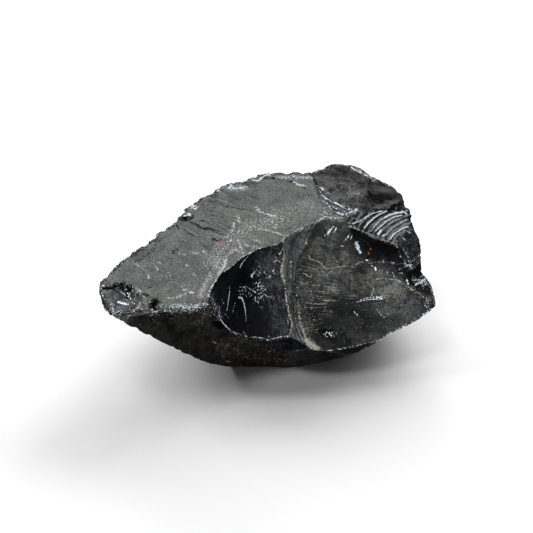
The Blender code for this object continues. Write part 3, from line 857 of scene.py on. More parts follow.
FACETS: dict[str, Facet] = {
    "worn_top": Facet(
        (
            "rim_west", "rim_north_west", "rim_north", "step_foot", "face_brow", "band_brow", "scoop_brow",
            "front_brow", "tip_brow",
        ),
        2.0, CRUST, (Grain(3.0, 0.18), Grain(1.2, 0.1, 2)), 2, (-183, 119, 36), cover=(0.25, 0.43, 0.0, 0.4),
    ),
    "tip": Facet(
        ("tip_edge", "tip_brow", "tip_front"), 1.5, LOBE, (Shatter(5.0, 0.7),), 3, guide="tip_brow",
        cover=(0.32, 0.2, 0.3, 0.2),
    ),
    "front": Facet(
        ("front_brow", "scoop_front", "pocket_foot", "seam_low", "foot_a", "keel", "tip_front"),
        2.1, DULL, (Grain(6.0, 0.45), Grain(1.8, 0.2)), 3, cover=(0.0, 0.0, 0.0, 1.0),
    ),
    "scoop": Facet(
        ("scoop_brow", "streak", "pocket_left", "scoop_front"),
        1.6, GLASS, (Ribs((2, 6, 40), (0.5, -0.6, 0.6), 5.0, 0.16), Grain(4.0, 0.12)), 6, guide="streak",
        cover=(0.0, 0.3, 0.12, 0.1),
    ),
    "band": Facet(
        ("band_brow", "groove", "pocket_right", "streak"), 1.6, SATIN, (Grain(5.0, 0.1),), 5, guide="groove",
        cover=(0.72, 0.7, 0.1, 0.05),
    ),
    "face": Facet(
        ("face_brow", "wall_foot", "sink_low", "beak_in", "beak_low", "face_low", "groove"),
        2.0, SATIN, (Rings((27, 9, 40), 7.0, 0.06), Grain(9.0, 0.2, 2), Grain(2.5, 0.07)), 4, guide="groove",
        cover=(0.37, 0.12, 0.45, 0.5),
    ),
    "wall": Facet(
        ("ridge", "spur_low", "wall_low", "wall_foot"), 1.5, GLASS, (Grain(5.0, 0.2),), 4, guide="ridge",
        cover=(0.12, 0.5, 0.0, 0.8),
    ),
    "ripple": Facet(
        ("step_end", "ripple_top", "ripple_end", "ripple_low", "ridge"),
        0.85, RIPPLED, (Rings((71, -9, 21.5), 1.9, 0.05, 38.5, 0.25, 0.4), Grain(5.0, 0.15, 2)), 14,
        (71, -9, 21.5), cover=(0.1, 0.1, 0.25, 0.25),
    ),
    "step": Facet(
        ("step_foot", "step_top", "step_end"),
        1.1, RIPPLED, (Rings((46, 40, 44), 1.7, 0.16, 0, 0.8, 0.3, 0.45), Shatter(3.0, 0.2)), 6,
        guide="step_foot", cover=(0.5, 0.6, 0.1, 0.0),
    ),
    "lobe": Facet(
        ("rim_lobe", "rim_east", "ripple_top", "step_top"),
        1.7, LOBE, (Grain(9.0, 0.7), Grain(2.5, 0.12)), 4, (60, 30, 30), cover=(0.27, 0.45, 0.15, 0.5),
    ),
    "crush": Facet(
        ("ripple_low", "crush_side", "crush_low", "spur_low"), 1.2, CRUSHED, (Shatter(3.2, 1.2),), 4,
        cover=(0.2, 0.3, 0.2, 0.2),
    ),
    "sink": Facet(
        ("crush_low", "flank_side", "heel_in", "sink_low", "wall_low"), 1.4, GLASS, (Grain(4.0, 0.3),), 4
    ),
    "beak": Facet(("heel_in", "beak_side", "beak_in"), 1.2, CRUSHED, (Shatter(3.0, 1.2),), 4),
    "pocket": Facet(
        ("pocket_left", "pocket_right", "pocket_end", "pocket_foot"), 1.2, GLASS, (Grain(3.0, 0.1),), 4,
        cover=(0.0, 0.0, 0.0, 0.0),
    ),
    "strip": Facet(
        ("pocket_end", "face_low", "stem_low", "foot_b", "seam_low"), 2.0, DULL, (Grain(5.0, 0.25),), 4,
        guide="face_low", cover=(0.25, 0.6, 0.3, 0.3),
    ),
    "west": Facet(
        ("rim_west", "drop_north_west", "girdle_west", "tip_under"),
        3.0, DULL, (Grain(6.0, 0.5), Grain(1.8, 0.18)), cover=(0.1, 0.1, 0.1, 0.8),
    ),
    "north_west": Facet(
        ("rim_north_west", "drop_north", "girdle_north_west", "drop_north_west"),
        3.0, SATIN, (Grain(6.0, 0.3), Rings((-22, 26, 40), 3.4, 0.16)), source=(-22, 26, 40),
        cover=(0.25, 0.4, 0.3, 0.4),
    ),
    "north": Facet(
        ("rim_north", "rim_lobe", "drop_crest", "girdle_north", "drop_north"),
        3.0, SATIN, (Rings((14, 38, 44), 5.0, 0.3), Grain(5.0, 0.2)), source=(14, 38, 44),
        cover=(0.15, 0.3, 0.45, 0.3),
    ),
    "north_east": Facet(
        ("rim_east", "drop_east", "girdle_crest", "drop_crest"),
        3.0, LOBE, (Rings((40, 34, 36), 4.0, 0.25), Grain(5.0, 0.3)), source=(40, 34, 36),
        cover=(0.15, 0.4, 0.3, 0.8),
    ),
    "east": Facet(
        ("drop_east", "ripple_end", "crush_side", "flank_side", "beak_side", "beak_under", "girdle_east"),
        2.6, GLASS, (Rings((56, 4, 34), 4.5, 0.25), Grain(5.0, 0.3)), source=(56, 4, 34),
        cover=(0.08, 0.45, 0.35, 0.3),
    ),
    "under_beak": Facet(
        ("beak_low", "beak_under", "leg_east", "foot_c", "stem_low"),
        3.0, SATIN, (Grain(5.0, 0.3),), source=(57, -20, 20), cover=(0.3, 0.4, 0.3, 0.5), hidden=True,
    ),
    "under_east": underside("girdle_east", "leg_east", "foot_d", "leg_north"),
    "under_north": underside("girdle_crest", "leg_north", "foot_e", "leg_north_west", "girdle_north"),
    "under_north_west": underside(
        "girdle_north_west", "leg_north_west", "foot_f", "leg_west", "girdle_west"
    ),
    "under_west": underside("tip_under", "leg_west", "foot_g", "keel", "tip_edge", pitch=3.0),
    "flat": Facet(
        ("foot_a", "foot_b", "foot_c", "foot_d", "foot_e", "foot_f", "foot_g"),
        60.0, CRUST, smooth=0, hidden=True,
    ),
}

PITS: tuple[Pit, ...] = (
    Pit((-28.5, 8.5, 35.5), 3.6, 0.7),
    Pit((-36, -36.5, 33), 4.5, 1.3),
    Pit((-16, -36, 23.5), 3.5, 1.2),
    Pit((21, -28.5, 13), 5, 0.6),
)

STROKES: tuple[Stroke, ...] = (
    # broad wear of the worn top
    *drawn(
        Mark.DUST,
        (5, 0.32, 0, (-18.2, -16.1, 34.5), (-13, -4.1, 35.3), (-5.1, 2.8, 35.8), (4.1, 6.1, 36.5)),
        (5, 0.22, 0, (3, 9, 36.6), (12, 13.2, 36.7), (22.6, 10.2, 36.6)),
        (1.2, 0.46, 0, (-21.9, -33.2, 33.6), (-20, -25.8, 34), (-16.8, -17.4, 34.7), (-10.8, -9.5, 35.1)),
        (4, 0.2, 0, (-46.5, -15.5, 34), (-36, -19.7, 33.9), (-27, -30, 33.6)),
    ),
    *drawn(
        Mark.LINES,
        (8, 0.4, 0, (-31, 0.5, 34.9), (-21.4, -2, 35.1), (-11.1, 2.9, 35.8)),
        (7, 0.3, 0, (-22.1, 17.8, 36.5), (-11.3, 14.8, 36.4), (-1.6, 17.4, 36.8)),
    ),
    *drawn(
        Mark.FILM,
        (6, 0.5, 0, (-9.4, 9, 36.1), (-1.6, 4.8, 36.1), (6.5, 6.7, 36.5)),
        (6, -0.25, 0, (-29.4, -16, 34.4), (-20.8, -20, 34.1)),
        (9, -0.25, 0, (-44.7, -16.8, 33.8), (-33.8, -27.3, 33.5)),
        (4, -0.25, 0, (-13.2, 19.3, 36.7), (-9.5, 17.7, 36.6)),
        (2.5, 0.6, 0, (-13.7, 24.6, 37), (-11.1, 24.8, 36.9), (-8.6, 24.2, 36.8)),
    ),
    *drawn(
        Mark.DARK,
        (3, 0.3, 0, (-12.5, 19.9, 36.8), (-9.5, 18.2, 36.6)),
        (1.3, 2.2, 0, (-30, 8.6, 34.7), (-28.7, 9.3, 34.1), (-27, 9.2, 34.6)),
        (0.5, 0.7, 0, (-31.9, 4.9, 35.2), (-30.7, 2.3, 34.9)),
        (1.4, 0.5, 0, (-7.5, 27.9, 37), (-4.6, 27.1, 37.1)),
        (1.2, 0.5, 0, (-37, -3.8, 34.7), (-40.1, -9.9, 34.1), (-43.8, -15.2, 33.8)),
        (1, 0.45, 0, (-22.2, 19.9, 36.3)),
    ),
    # painted glints on chips along the worn top's back rim
    *drawn(
        Mark.PAINTED_GLINT,
        (1.8, 0.5, 0, (-13.7, 24.6, 37), (-11.1, 25.3, 37), (-8.6, 25, 36.8)),
        (1.3, 0.75, 0, (-26, 14.2, 36)),
        (1.2, 0.5, 0, (-17.6, 23.6, 36.8)),
        (1.2, 0.42, 0, (4.2, 30.7, 37.8), (10.8, 30.8, 37.7), (16, 30.4, 37.5)),
    ),
    # the left tip and the front brow
    *drawn(
        Mark.FILM,
        (2.6, 0.35, 0, (-50, -31.4, 30.8), (-47.8, -33.6, 30.9), (-48.9, -35.7, 30.5)),
    ),
    *drawn(
        Mark.WARMTH,
        (3, -0.5, 0, (-50, -31.4, 30.8), (-47.8, -32.8, 31.1), (-46.8, -33.8, 31.1)),
    ),
    *drawn(
        Mark.DUST,
        (1.6, 0.32, 0, (-50.9, -35.9, 30.2), (-47.4, -37.7, 31), (-44.1, -37.6, 30.8),
         (-40.1, -37.7, 31.8)),
    ),
    # painted glints along the tip's front edge and the front brow
    *drawn(
        Mark.PAINTED_GLINT,
        (1.5, 0.2, 0, (-50.9, -35.9, 30.2), (-47.4, -37.7, 31), (-44.1, -37.6, 30.8),
         (-40.1, -37.7, 31.8)),
        (1.2, 0.42, 0, (-30.9, -37.3, 32.7), (-25, -37.8, 32.7), (-20.5, -36.7, 33.1)),
    ),
    *drawn(
        Mark.DARK,
        (0.9, 0.85, 0, (-46.6, -39.6, 30.9), (-44, -39.3, 31.4), (-41.4, -38.2, 31.3)),
        (1.1, 1.6, 0, (-36.7, -34.5, 32.6), (-37.1, -35, 31.3), (-36.3, -36.5, 30.8)),
        (0.8, 1.4, 0, (-37.6, -36.8, 31.4), (-35.3, -36.9, 31.1)),
        (1, 0.55, 0, (-32.2, -38.2, 32.6), (-28.2, -38.7, 32.6), (-23, -38.2, 32.6)),
    ),
    # the scoop and the band
    *drawn(
        Mark.FILM,
        (4.5, 0.42, 0, (0.5, -11.2, 30.7), (3.3, -17, 23), (5.3, -25.3, 16.5), (6, -30.5, 12.8)),
        (5, 0.2, 0, (1.2, -8.9, 34.2), (7.5, -3.9, 34.7)),
        (3, 0.1, 0, (6.1, -10.2, 29.9), (10.3, -5.2, 31.4)),
        (3.5, 0.3, 0, (-0.2, -12.4, 29), (2.6, -13.8, 26.6)),
        (2.8, -0.3, 0, (18.8, 3.3, 35.5), (13.8, -5.2, 30.5), (11.3, -13.7, 23.9), (11.2, -22.6, 17.8)),
        (0.8, -0.5, 0, (17.4, 2.3, 35.3), (13.8, -3.5, 31.8), (11.1, -8.1, 28.3), (10.2, -12.6, 25.2),
         (9.5, -19.6, 20.6), (9.3, -24.9, 17), (10.4, -29.1, 13.5)),
        (1, 0.3, 0, (12, -11, 26.2), (11.8, -16.3, 22.4), (12.2, -21.2, 18.4)),
        (2.2, 0.3, 0, (12.6, -14.1, 23.3), (12.6, -21.7, 18), (13.5, -28.3, 13.6)),
    ),
    *drawn(
        Mark.LINES,
        (4.5, 0.42, 0, (-0.2, -11.2, 30.7), (2.9, -17, 23), (3.9, -25.3, 16.5), (4.6, -30.6, 13)),
        (5, 0.15, 0, (0.5, -9.4, 33.7), (7.5, -2.7, 35.6)),
        (5, 0.35, 0, (-9, -30.6, 18.7), (-1.5, -29, 15.2)),
        (3, 0.35, 0, (19.5, 4.1, 35.8), (14.5, -4.6, 30.9), (12.3, -13, 24.2), (12.2, -21.8, 18),
         (13.5, -28.3, 13.6)),
    ),
    # painted sheen on the scoop and a painted glint by the prow
    *drawn(
        Mark.PAINTED_GLINT,
        (2.6, 0.16, 0, (-3.6, -16.3, 25.1), (-1.9, -17.4, 23.3), (-2.2, -20, 21)),
        (2.2, 0.15, 0, (-2.9, -13.5, 28.6), (0.5, -13.9, 26.7)),
        (2.2, 0.15, 0, (-8, -19.7, 24.8), (-6, -19.2, 23.4)),
        (2.6, 0.3, 0, (-18, -33.1, 31.8), (-16.1, -33.5, 27)),
    ),
    *drawn(
        Mark.WARMTH,
        (3, 0.7, 0, (19.5, 4.1, 35.8), (14.5, -4.6, 30.9), (12.3, -13, 24.2), (12.2, -21.8, 18),
         (13.5, -28.3, 13.6)),
    ),
    *drawn(
        Mark.DUST,
        (1.6, 0.2, 0, (15.8, -14.2, 22.5), (15.4, -20.7, 18), (15.9, -27.4, 13.8)),
    ),
    # the face
    *drawn(
        Mark.FILM,
        (4, -0.5, 0, (29.3, 0.2, 31.7), (33.5, -2.1, 29), (38.5, -3.3, 27.3), (44.1, -4.6, 26.1)),
        (3.5, -0.5, 0, (44.1, -4.7, 25.7), (47.4, -8.1, 24.8), (50.8, -10.9, 22.1)),
        (5, 0.2, 0, (13.8, -7.8, 28.1), (18.6, -8.7, 26.1), (22.8, -10.5, 24)),
        (5, 0.15, 0, (18, -1.1, 32.6), (23.7, -2.4, 30.1)),
        (3, 0.2, 0, (27.1, -4.4, 28.1), (32.1, -4.6, 27.4)),
        (4, 0.1, 0, (29.9, -8.6, 24.3), (34.7, -10.9, 22.5)),
        (4, 0.3, 0, (38.2, -11.8, 21.4), (41.7, -12.1, 21.3), (45, -14, 21)),
        (3, 0.3, 0, (40.5, -6.3, 25.1), (43.1, -9.6, 23.3)),
        (8, -0.42, 0, (17.8, -21.6, 17), (23.3, -23, 15.4), (27.3, -27.5, 12.9)),
        (5, -0.4, 0, (19, -29.2, 12.1), (23.1, -30.4, 11.4), (26.5, -30.7, 11.3)),
        (3, 0.25, 0, (29.3, -28, 12.5), (32.8, -28.5, 12)),
        (4, -0.2, 0, (52.4, -18.4, 19.7), (55, -20.1, 18.8)),
        (6, -0.12, 0, (30.5, -23.3, 14.8), (39.1, -25.2, 13.7), (46, -23.1, 15.5)),
        (4, -0.2, 0, (29.7, -17, 18.5), (32.3, -22.6, 15.1)),
        (4, 0.1, 0, (41.1, -17.5, 18.1), (45.5, -19.7, 17.2)),
        (6, -0.1, 0, (35.2, -18.6, 17.6), (39.2, -22.6, 15.1)),
    ),
    *drawn(
        Mark.WARMTH,
        (4, 0.5, 0, (27.1, -4.4, 28.1), (32.1, -4.6, 27.4)),
        (5, 0.5, 0, (29.9, -8.6, 24.3), (34.7, -10.9, 22.5)),
        (5, 0.5, 0, (38.2, -11.8, 21.4), (41.7, -12.1, 21.3), (45, -14, 21)),
        (4, -0.6, 0, (40.5, -6.3, 25.1), (43.1, -9.6, 23.3)),
        (6, -0.7, 0, (17.8, -21.6, 17), (23.3, -23, 15.4), (27.3, -27.5, 12.9)),
    ),
    *drawn(
        Mark.LINES,
        (5, 0.35, 0, (19.5, 1.6, 34.1), (25.8, 1.1, 32.8), (31.5, -1, 29.9)),
    ),
    *drawn(
        Mark.SCRATCHES,
        (7, 0.35, 0, (17.9, -8.8, 26.2), (22.1, -13.3, 22.2), (20.2, -18, 19.4)),
    ),
    *drawn(
        Mark.DARK,
        (2.2, 0.85, 0, (19, -27.4, 13.3), (21.8, -27.5, 12.1), (22.8, -30.1, 11.6)),
        (1.8, 0.6, 0, (25.9, -28.1, 12.6), (27.9, -30.7, 11.2)),
        (2.5, 0.3, 0, (15.7, -20.1, 18.4), (20.5, -21.4, 16.8)),
    ),
    # the lobe, the wall and the right-hand end
    *drawn(
        Mark.FILM,
        (7, 0.42, 0, (23.2, 26.8, 36.4), (29, 24.6, 35.3)),
        (6, -0.2, 0, (38.7, 27.4, 34.2), (46, 24.2, 31.1)),
        (3, 0.4, 0, (14.9, 14.7, 36.9), (16.6, 11.4, 36.6), (18.3, 9, 36.6)),
        (3, 0.4, 0, (20.5, 20.5, 35.9), (24.6, 15.9, 35.2), (29.9, 12.5, 34.9)),
    ),
    *drawn(
        Mark.WARMTH,
        (4, -0.4, 0, (14.9, 14.7, 36.9), (16.6, 11.4, 36.6), (18.3, 9, 36.6)),
    ),
    *drawn(
        Mark.DARK,
        (2.6, 0.5, 0, (31.5, 31.4, 36), (35.8, 29.2, 35.7), (39.1, 33, 34.8)),
        (3.6, 0.75, 0, (38.5, 23.6, 34.2), (43.8, 23.8, 31.4), (47.3, 22.1, 30.8)),
        (3, 0.5, 0, (30.8, 16.2, 35), (38.2, 18.5, 33.4)),
        (1.6, 0.8, 0, (51.9, -14.7, 21.1), (54.9, -13.7, 19.9), (57.4, -13.5, 18.8)),
    ),
    *drawn(
        Mark.DUST,
        (3, 0.3, 0, (31.2, 24.2, 35.5), (34.6, 21.5, 35.7)),
        (1, 0.4, 0, (50.5, -14.5, 21.4), (53.3, -15.9, 20.3), (55.9, -18.3, 19.1)),
    ),
    # painted glints on the lobe's rim and the crushed right-hand end
    *drawn(
        Mark.PAINTED_GLINT,
        (1.5, 0.42, 0, (32.5, 36.8, 37.7), (36.2, 35.4, 36.4), (39.9, 33.6, 34.4)),
        (1.2, 0.4, 0, (48.6, -5.1, 25.5), (50.7, -5.6, 24.6)),
        (1.4, 0.5, 0, (51.9, -10.1, 21.9), (54.4, -10.1, 21.5), (56.6, -10.5, 20.4)),
    ),
    # the front, the pocket and the strip
    *drawn(
        Mark.DUST,
        (1.2, 0.4, 0, (21.8, -31.6, 7.4), (27.3, -28.3, 3.1)),
        (3, 0.22, 0, (-9, -34.1, 15.1), (-2.9, -31.4, 10), (0.5, -31.3, 8)),
        (3, 0.25, 0, (-18.6, -37, 29.9), (-23.3, -37.7, 26.2)),
        (4, 0.2, 0, (-15.1, -34.8, 12.1), (-6.4, -31.4, 4.5), (4.7, -31.4, 2.6)),
    ),
    *drawn(
        Mark.DARK,
        (1.5, 1.2, 0, (-17.2, -34.9, 23.8), (-15.2, -35.2, 22.3)),
    ),
    # cracks of the worn top
    *drawn(
        Mark.DARK,
        (0.4, 3, 0.4, (-26.5, 5.9, 35.1), (-24.5, 4.4, 35.1), (-23, 3.2, 34.7), (-21.6, 2.4, 34.8),
         (-19.8, 2.2, 35.2), (-18.4, 0.9, 35.3)),
        (0.24, 1.6, 0.12, (-23.5, 6.4, 35.4), (-22.1, 6.3, 35.5), (-20.3, 4.5, 35.7)),
        (0.3, 0.6, 0.1, (-18.4, 0.5, 35.4), (-16.6, -0.8, 35.3), (-14.5, -2, 35.3)),
        (0.36, 2.8, 0.32, (-18.6, -3.2, 34.8), (-16.8, -4.2, 34.7), (-15.8, -4.4, 34.9)),
        (0.3, 0.9, 0.12, (-19.7, 19.5, 36.2), (-17.1, 19.1, 36.5)),
        (0.2, 1.8, 0.12, (-20.7, 17.4, 36.3), (-17.4, 16.3, 36.2), (-15.9, 14.9, 36.3),
         (-13.4, 12.9, 36.4)),
        (0.24, 0.8, 0.08, (-18.6, 18, 36.4), (-16, 16, 36.4), (-13.1, 14.1, 36.3)),
        (0.22, 0.75, 0.08, (-17.5, 19.7, 36.5), (-14.6, 17.6, 36.6), (-11.7, 15.8, 36.3)),
        (0.24, 0.75, 0.08, (-21.9, 10.1, 35.8), (-18.6, 9.2, 35.8), (-15.8, 8.2, 35.8)),
        (0.22, 0.7, 0.06, (-21.2, 12.3, 36), (-18, 10.8, 35.9), (-15.1, 9.8, 35.8)),
        (0.3, 0.5, 0.08, (-21.8, 8.1, 35.7), (-18.2, 6.9, 35.7), (-13.6, 5.6, 35.8)),
        (0.28, 0.5, 0.06, (-13.1, 13.7, 36.3), (-9.5, 12.7, 36.2), (-5.2, 12.7, 36.1)),
        (0.3, 0.5, 0.05, (-22.9, -7.8, 35.1), (-20.5, -8, 35), (-18.8, -7.6, 34.9)),
        (0.35, 0.8, 0.1, (-34.3, -8.7, 34.2), (-32.5, -9.7, 34.4), (-30.5, -9, 34.5)),
        (0.5, 0.7, 0.1, (-32.5, -10.5, 34.3), (-31, -11.4, 34.4)),
        (0.35, 0.7, 0.1, (-40.2, -12.4, 34), (-39.7, -13.1, 33.9)),
        (0.4, 0.7, 0.1, (-44.9, -17.9, 33.8), (-43.6, -17.8, 33.7)),
        (0.5, 0.8, 0.2, (-0.6, 30.3, 37.4), (1.7, 30.5, 37.5), (4.2, 29.4, 37.3)),
        (0.45, 0.7, 0.1, (-7.5, 27.9, 37), (-6, 26.3, 36.8), (-4.2, 25.5, 36.9)),
        (0.5, 1, 0.2, (8.6, 28.5, 37.3), (10.8, 27.8, 37.3)),
        (0.5, 0.9, 0.2, (11.5, 27.1, 37.1), (13.3, 25.5, 36.9), (14.4, 23.8, 37.1)),
        (0.8, 0.75, 0.1, (-40.5, -31.5, 33), (-39.1, -32.6, 33.1), (-37.8, -33.3, 32.9)),
        (0.7, 0.5, 0, (-40, -29.2, 33.3), (-38.4, -28.2, 33.4)),
    ),
    *drawn(
        Mark.RUST,
        (0.45, 0.85, 0, (-16.5, -4.4, 34.7), (-14.7, -4.7, 35.1), (-14.4, -5.7, 35.2)),
    ),
    *drawn(
        Mark.DUST,
        (0.5, 0.9, 0, (10.1, 28.2, 37.3), (11.9, 26.6, 37), (13.7, 25.7, 37.2)),
    ),
    # pale scratches of the worn top
    *drawn(
        Mark.DUST,
        (0.68, 0.61, 0, (-10.1, 8.5, 36.1), (-9.7, 5.2, 35.8)),
        (0.68, 0.61, 0, (-11.4, 4.6, 35.8), (-11.7, 1.1, 35.8), (-12.4, -0.3, 35.5)),
        (0.68, 0.53, 0, (-13.1, -1.4, 35.5), (-13.4, -3.5, 35.3)),
        (0.54, 0.46, 0, (-10.6, -0.4, 35.6), (-9.3, 0, 35.7)),
        (0.47, 0.65, 0, (-9.9, -4.9, 35.5), (-8.8, -8.8, 35.4), (-8, -12, 35.3)),
        (0.47, 0.53, 0, (-10.5, -10.2, 35.1), (-9.1, -11.8, 35.3)),
        (0.68, 0.61, 0, (-7.8, -6.7, 35.5), (-6.7, -8.3, 35.4)),
        (0.68, 0.42, 0, (-7.2, 3.4, 35.8), (-5.8, 5, 36)),
        (0.54, 0.61, 0, (-21.8, -10.4, 34.7), (-20.7, -11.7, 34.6)),
        (0.81, 0.42, 0, (-26.2, -10.7, 34.7), (-23.5, -11.3, 34.7)),
        (0.81, 0.42, 0, (-29.7, -11.1, 34.5), (-28.2, -12.4, 34.4)),
        (0.68, 0.76, 0, (-3.8, 13.6, 36.4), (-2.3, 10.9, 36.1), (-0.9, 10.1, 36.2), (1.2, 8.6, 36.4),
         (3, 7.9, 36.5)),
        (0.47, 0.38, 0, (2, 12.9, 36.4), (3.7, 7.9, 36.5)),
        (0.47, 0.65, 0, (-3, 1, 35.9), (-0.2, 0.4, 35.9), (2.6, -0.7, 35.8), (5.4, -2.4, 35.8),
         (7.1, -2.7, 35.5)),
        (0.68, 0.53, 0, (3.7, 4, 36.3), (3.3, 1.5, 36)),
        (0.68, 0.53, 0, (-4, -5.1, 35.6), (-1.6, -6.8, 35.6)),
        (0.81, 0.46, 0, (-5.7, -8.6, 35.2), (-2.9, -8.9, 35.4)),
        (0.94, 0.42, 0, (0.5, 5.8, 36.3), (3, 4.6, 36.3)),
        (0.81, 0.46, 0, (6.2, 10, 36.7), (8.3, 9.1, 36.5)),
        (1.2, 0.38, 0, (-14.1, -16.4, 34.8), (-15, -19.6, 34.7), (-16.3, -22.3, 34.2)),
        (0.68, 0.76, 0, (-13.8, -15.4, 34.8), (-14.4, -19.1, 34.7), (-16, -21.9, 34.4),
         (-16.9, -24.8, 34.1)),
        (0.54, 0.61, 0, (-17.5, -26.1, 33.9), (-18.1, -29.3, 33.9)),
        (0.68, 0.61, 0, (-27.7, -29.5, 33.6), (-27, -30, 33.6)),
        (0.61, 0.84, 0, (-25.3, -31.2, 33.6), (-24.3, -31.4, 33.6)),
        (0.68, 0.57, 0, (-32.5, -33.6, 33), (-30.5, -33.6, 33.1), (-28.5, -32.8, 33.3),
         (-26.6, -31.9, 33.4)),
        (0.54, 0.53, 0, (-27.3, -17.5, 34.3), (-26.6, -17.9, 34.2)),
        (0.54, 0.53, 0, (-37.4, -18.1, 33.9), (-36.7, -19.7, 33.9)),
        (0.54, 0.53, 0, (-24.7, -21.8, 33.9), (-24, -22.8, 33.8)),
        (0.54, 0.53, 0, (-39.9, -22.2, 33.7), (-39.4, -23.9, 33.7)),
        (0.54, 0.46, 0, (-44.4, -16.4, 33.9), (-43.3, -17.5, 33.9)),
        (0.54, 0.46, 0, (-36.9, -15.4, 34), (-36.2, -16.1, 34.1)),
        (0.54, 0.46, 0, (-23.7, -6.2, 35.1), (-23, -6.7, 35.1)),
    ),
    *drawn(
        Mark.RUST,
        (0.3, 0.8, 0, (-22.7, -30.2, 33.7), (-22.6, -31.7, 33.7)),
        (0.3, 0.5, 0, (-21, -31.4, 33.8), (-20.6, -32.3, 33.7)),
    ),
    # streaks and scratches of the scoop: painted glints on its hackles
    *drawn(
        Mark.PAINTED_GLINT,
        (0.15, 1.1, 0, (-12.4, -21.7, 28.6), (-12.5, -23.4, 26.8), (-12.9, -25.4, 25.4)),
        (0.14, 0.85, 0, (-12.9, -25.4, 25.4), (-13.2, -27.3, 24.4), (-13.3, -28.8, 23.9)),
        (0.26, 1.3, 0, (-9.4, -22, 23.8), (-8.4, -21.7, 23.1), (-8, -22.2, 22.4)),
        (0.19, 1.2, 0, (-8, -22.2, 22.4), (-7.5, -23.3, 21.1), (-7.2, -24.6, 19.9)),
        (0.14, 0.8, 0, (-7.2, -24.6, 19.9), (-7, -26.1, 19), (-7, -28.1, 18)),
        (0.14, 0.65, 0, (-7.9, -31.9, 17.7), (-7.3, -33, 16.9), (-6.3, -33.3, 15.3)),
        (0.2, 0.5, 0, (-10.7, -24.3, 23.2), (-11, -25.7, 22.6), (-11.4, -27.5, 21.9)),
        (0.18, 1.05, 0, (-9, -16.1, 32.1), (-8.4, -15, 33), (-7.7, -14.1, 33.4)),
        (0.14, 0.8, 0, (-7.7, -14.1, 33.4), (-6.7, -12.9, 34), (-5.7, -11.8, 34.7)),
        (0.28, 1.05, 0, (-5, -15.4, 27.4), (-5.1, -15.1, 28), (-4.3, -14.4, 28.4)),
        (0.15, 0.7, 0, (-4.3, -14.4, 28.4), (-3.9, -13.8, 29.2)),
        (0.14, 0.55, 0, (-4, -13.5, 29.7), (-2.9, -13.1, 29.3), (-1.6, -13.1, 28.3)),
        (0.14, 0.55, 0, (-2.9, -13.5, 28.6), (-1.9, -13.6, 27.8)),
        (0.14, 0.45, 0, (-1.6, -13, 28.6), (-0.2, -13.6, 27.3), (1.2, -14.3, 26.1)),
        (0.14, 0.45, 0, (-0.2, -12, 29.6), (1.6, -12.5, 28.2), (3.3, -13.5, 26.8)),
        (0.2, 1, 0, (-2.9, -16.7, 24.3), (-2.8, -16.1, 25), (-2.2, -15.6, 25.4)),
        (0.14, 0.7, 0, (-2.8, -16.7, 24.3), (-1.6, -16.3, 24.4), (-0.2, -16.4, 23.9), (0.5, -16.6, 23.6)),
        (0.16, 0.8, 0, (-3.4, -15.8, 25.6), (-3.4, -16.3, 25.1)),
        (0.2, 0.9, 0, (-3.2, -17.4, 23.7), (-3.1, -17.6, 23.5)),
        (0.14, 0.65, 0, (-9.1, -19.3, 26), (-7, -18.3, 25.4), (-5.7, -18, 24.5)),
        (0.2, 1, 0, (-5.5, -18.1, 24.3), (-4.6, -18.2, 23.5), (-3.6, -18.3, 22.9)),
        (0.2, 0.6, 0, (-9.2, -20, 25.4), (-9.2, -20.5, 24.9)),
        (0.22, 0.6, 0, (-8.4, -19.7, 25), (-8, -19.6, 24.9)),
        (0.22, 0.6, 0, (-6.3, -19, 24), (-6, -19.1, 23.6)),
        (0.2, 0.7, 0, (-8.9, -21, 24.2), (-8.4, -20.7, 24)),
        (0.14, 0.5, 0, (-8.4, -20.7, 24), (-6.7, -19.7, 23.4)),
        (0.14, 0.5, 0, (-6, -19.7, 23), (-5.5, -19.9, 22.5)),
        (0.2, 0.95, 0, (-3.8, -19.5, 21.9), (-3.8, -20.3, 21.2), (-3.6, -20.8, 20.8)),
        (0.14, 0.6, 0, (-2.2, -17.5, 23.4), (-0.9, -17.6, 22.8)),
        (0.14, 0.6, 0, (-1.6, -16.7, 23.9), (-0.2, -17.1, 23.1)),
        (0.14, 0.6, 0, (-2.9, -18.5, 22.5), (-1.6, -18, 22.7)),
        (0.15, 0.7, 0, (-2.2, -19.1, 21.6), (-0.9, -18.6, 21.8)),
        (0.15, 0.75, 0, (-0.9, -18.2, 22.2), (0.2, -18.7, 21.5)),
        (0.14, 0.6, 0, (-2.9, -20.1, 21.1), (-1.9, -19.1, 21.6)),
        (0.14, 0.55, 0, (-3.3, -21, 20.5), (-2.2, -20.3, 20.8)),
        (0.14, 0.55, 0, (-1.5, -20.1, 20.7), (-0.9, -19.5, 21.1)),
        (0.14, 0.5, 0, (0.2, -18.6, 21.6), (1.9, -19, 21.3), (3.3, -19.9, 20.5)),
        (0.14, 0.5, 0, (-2.9, -21.5, 20), (-1.2, -22.1, 19.1)),
        (0.26, 0.45, 0, (1.2, -14, 26.4), (2.6, -12.3, 28.5), (4, -10.7, 30.3)),
        (0.17, 0.7, 0, (4.3, -9.1, 32.2), (5, -8.3, 32.9), (5.7, -6.8, 33.4)),
        (0.14, 0.65, 0, (-15.9, -30.2, 27.7), (-15.5, -32.4, 26.1)),
        (0.22, 1.1, 0, (-15.8, -34.3, 26.3), (-15.1, -35.3, 25), (-13.9, -35, 22.6), (-12.6, -35, 20.8)),
        (0.15, 0.7, 0, (-12.6, -35, 20.8), (-11.3, -34.4, 18.9), (-8.9, -34, 17.7)),
        (0.18, 0.75, 0, (-6.6, -33.6, 15.6), (-3.9, -32.3, 14.9), (-1.5, -31.8, 14), (0.5, -31.8, 13.1)),
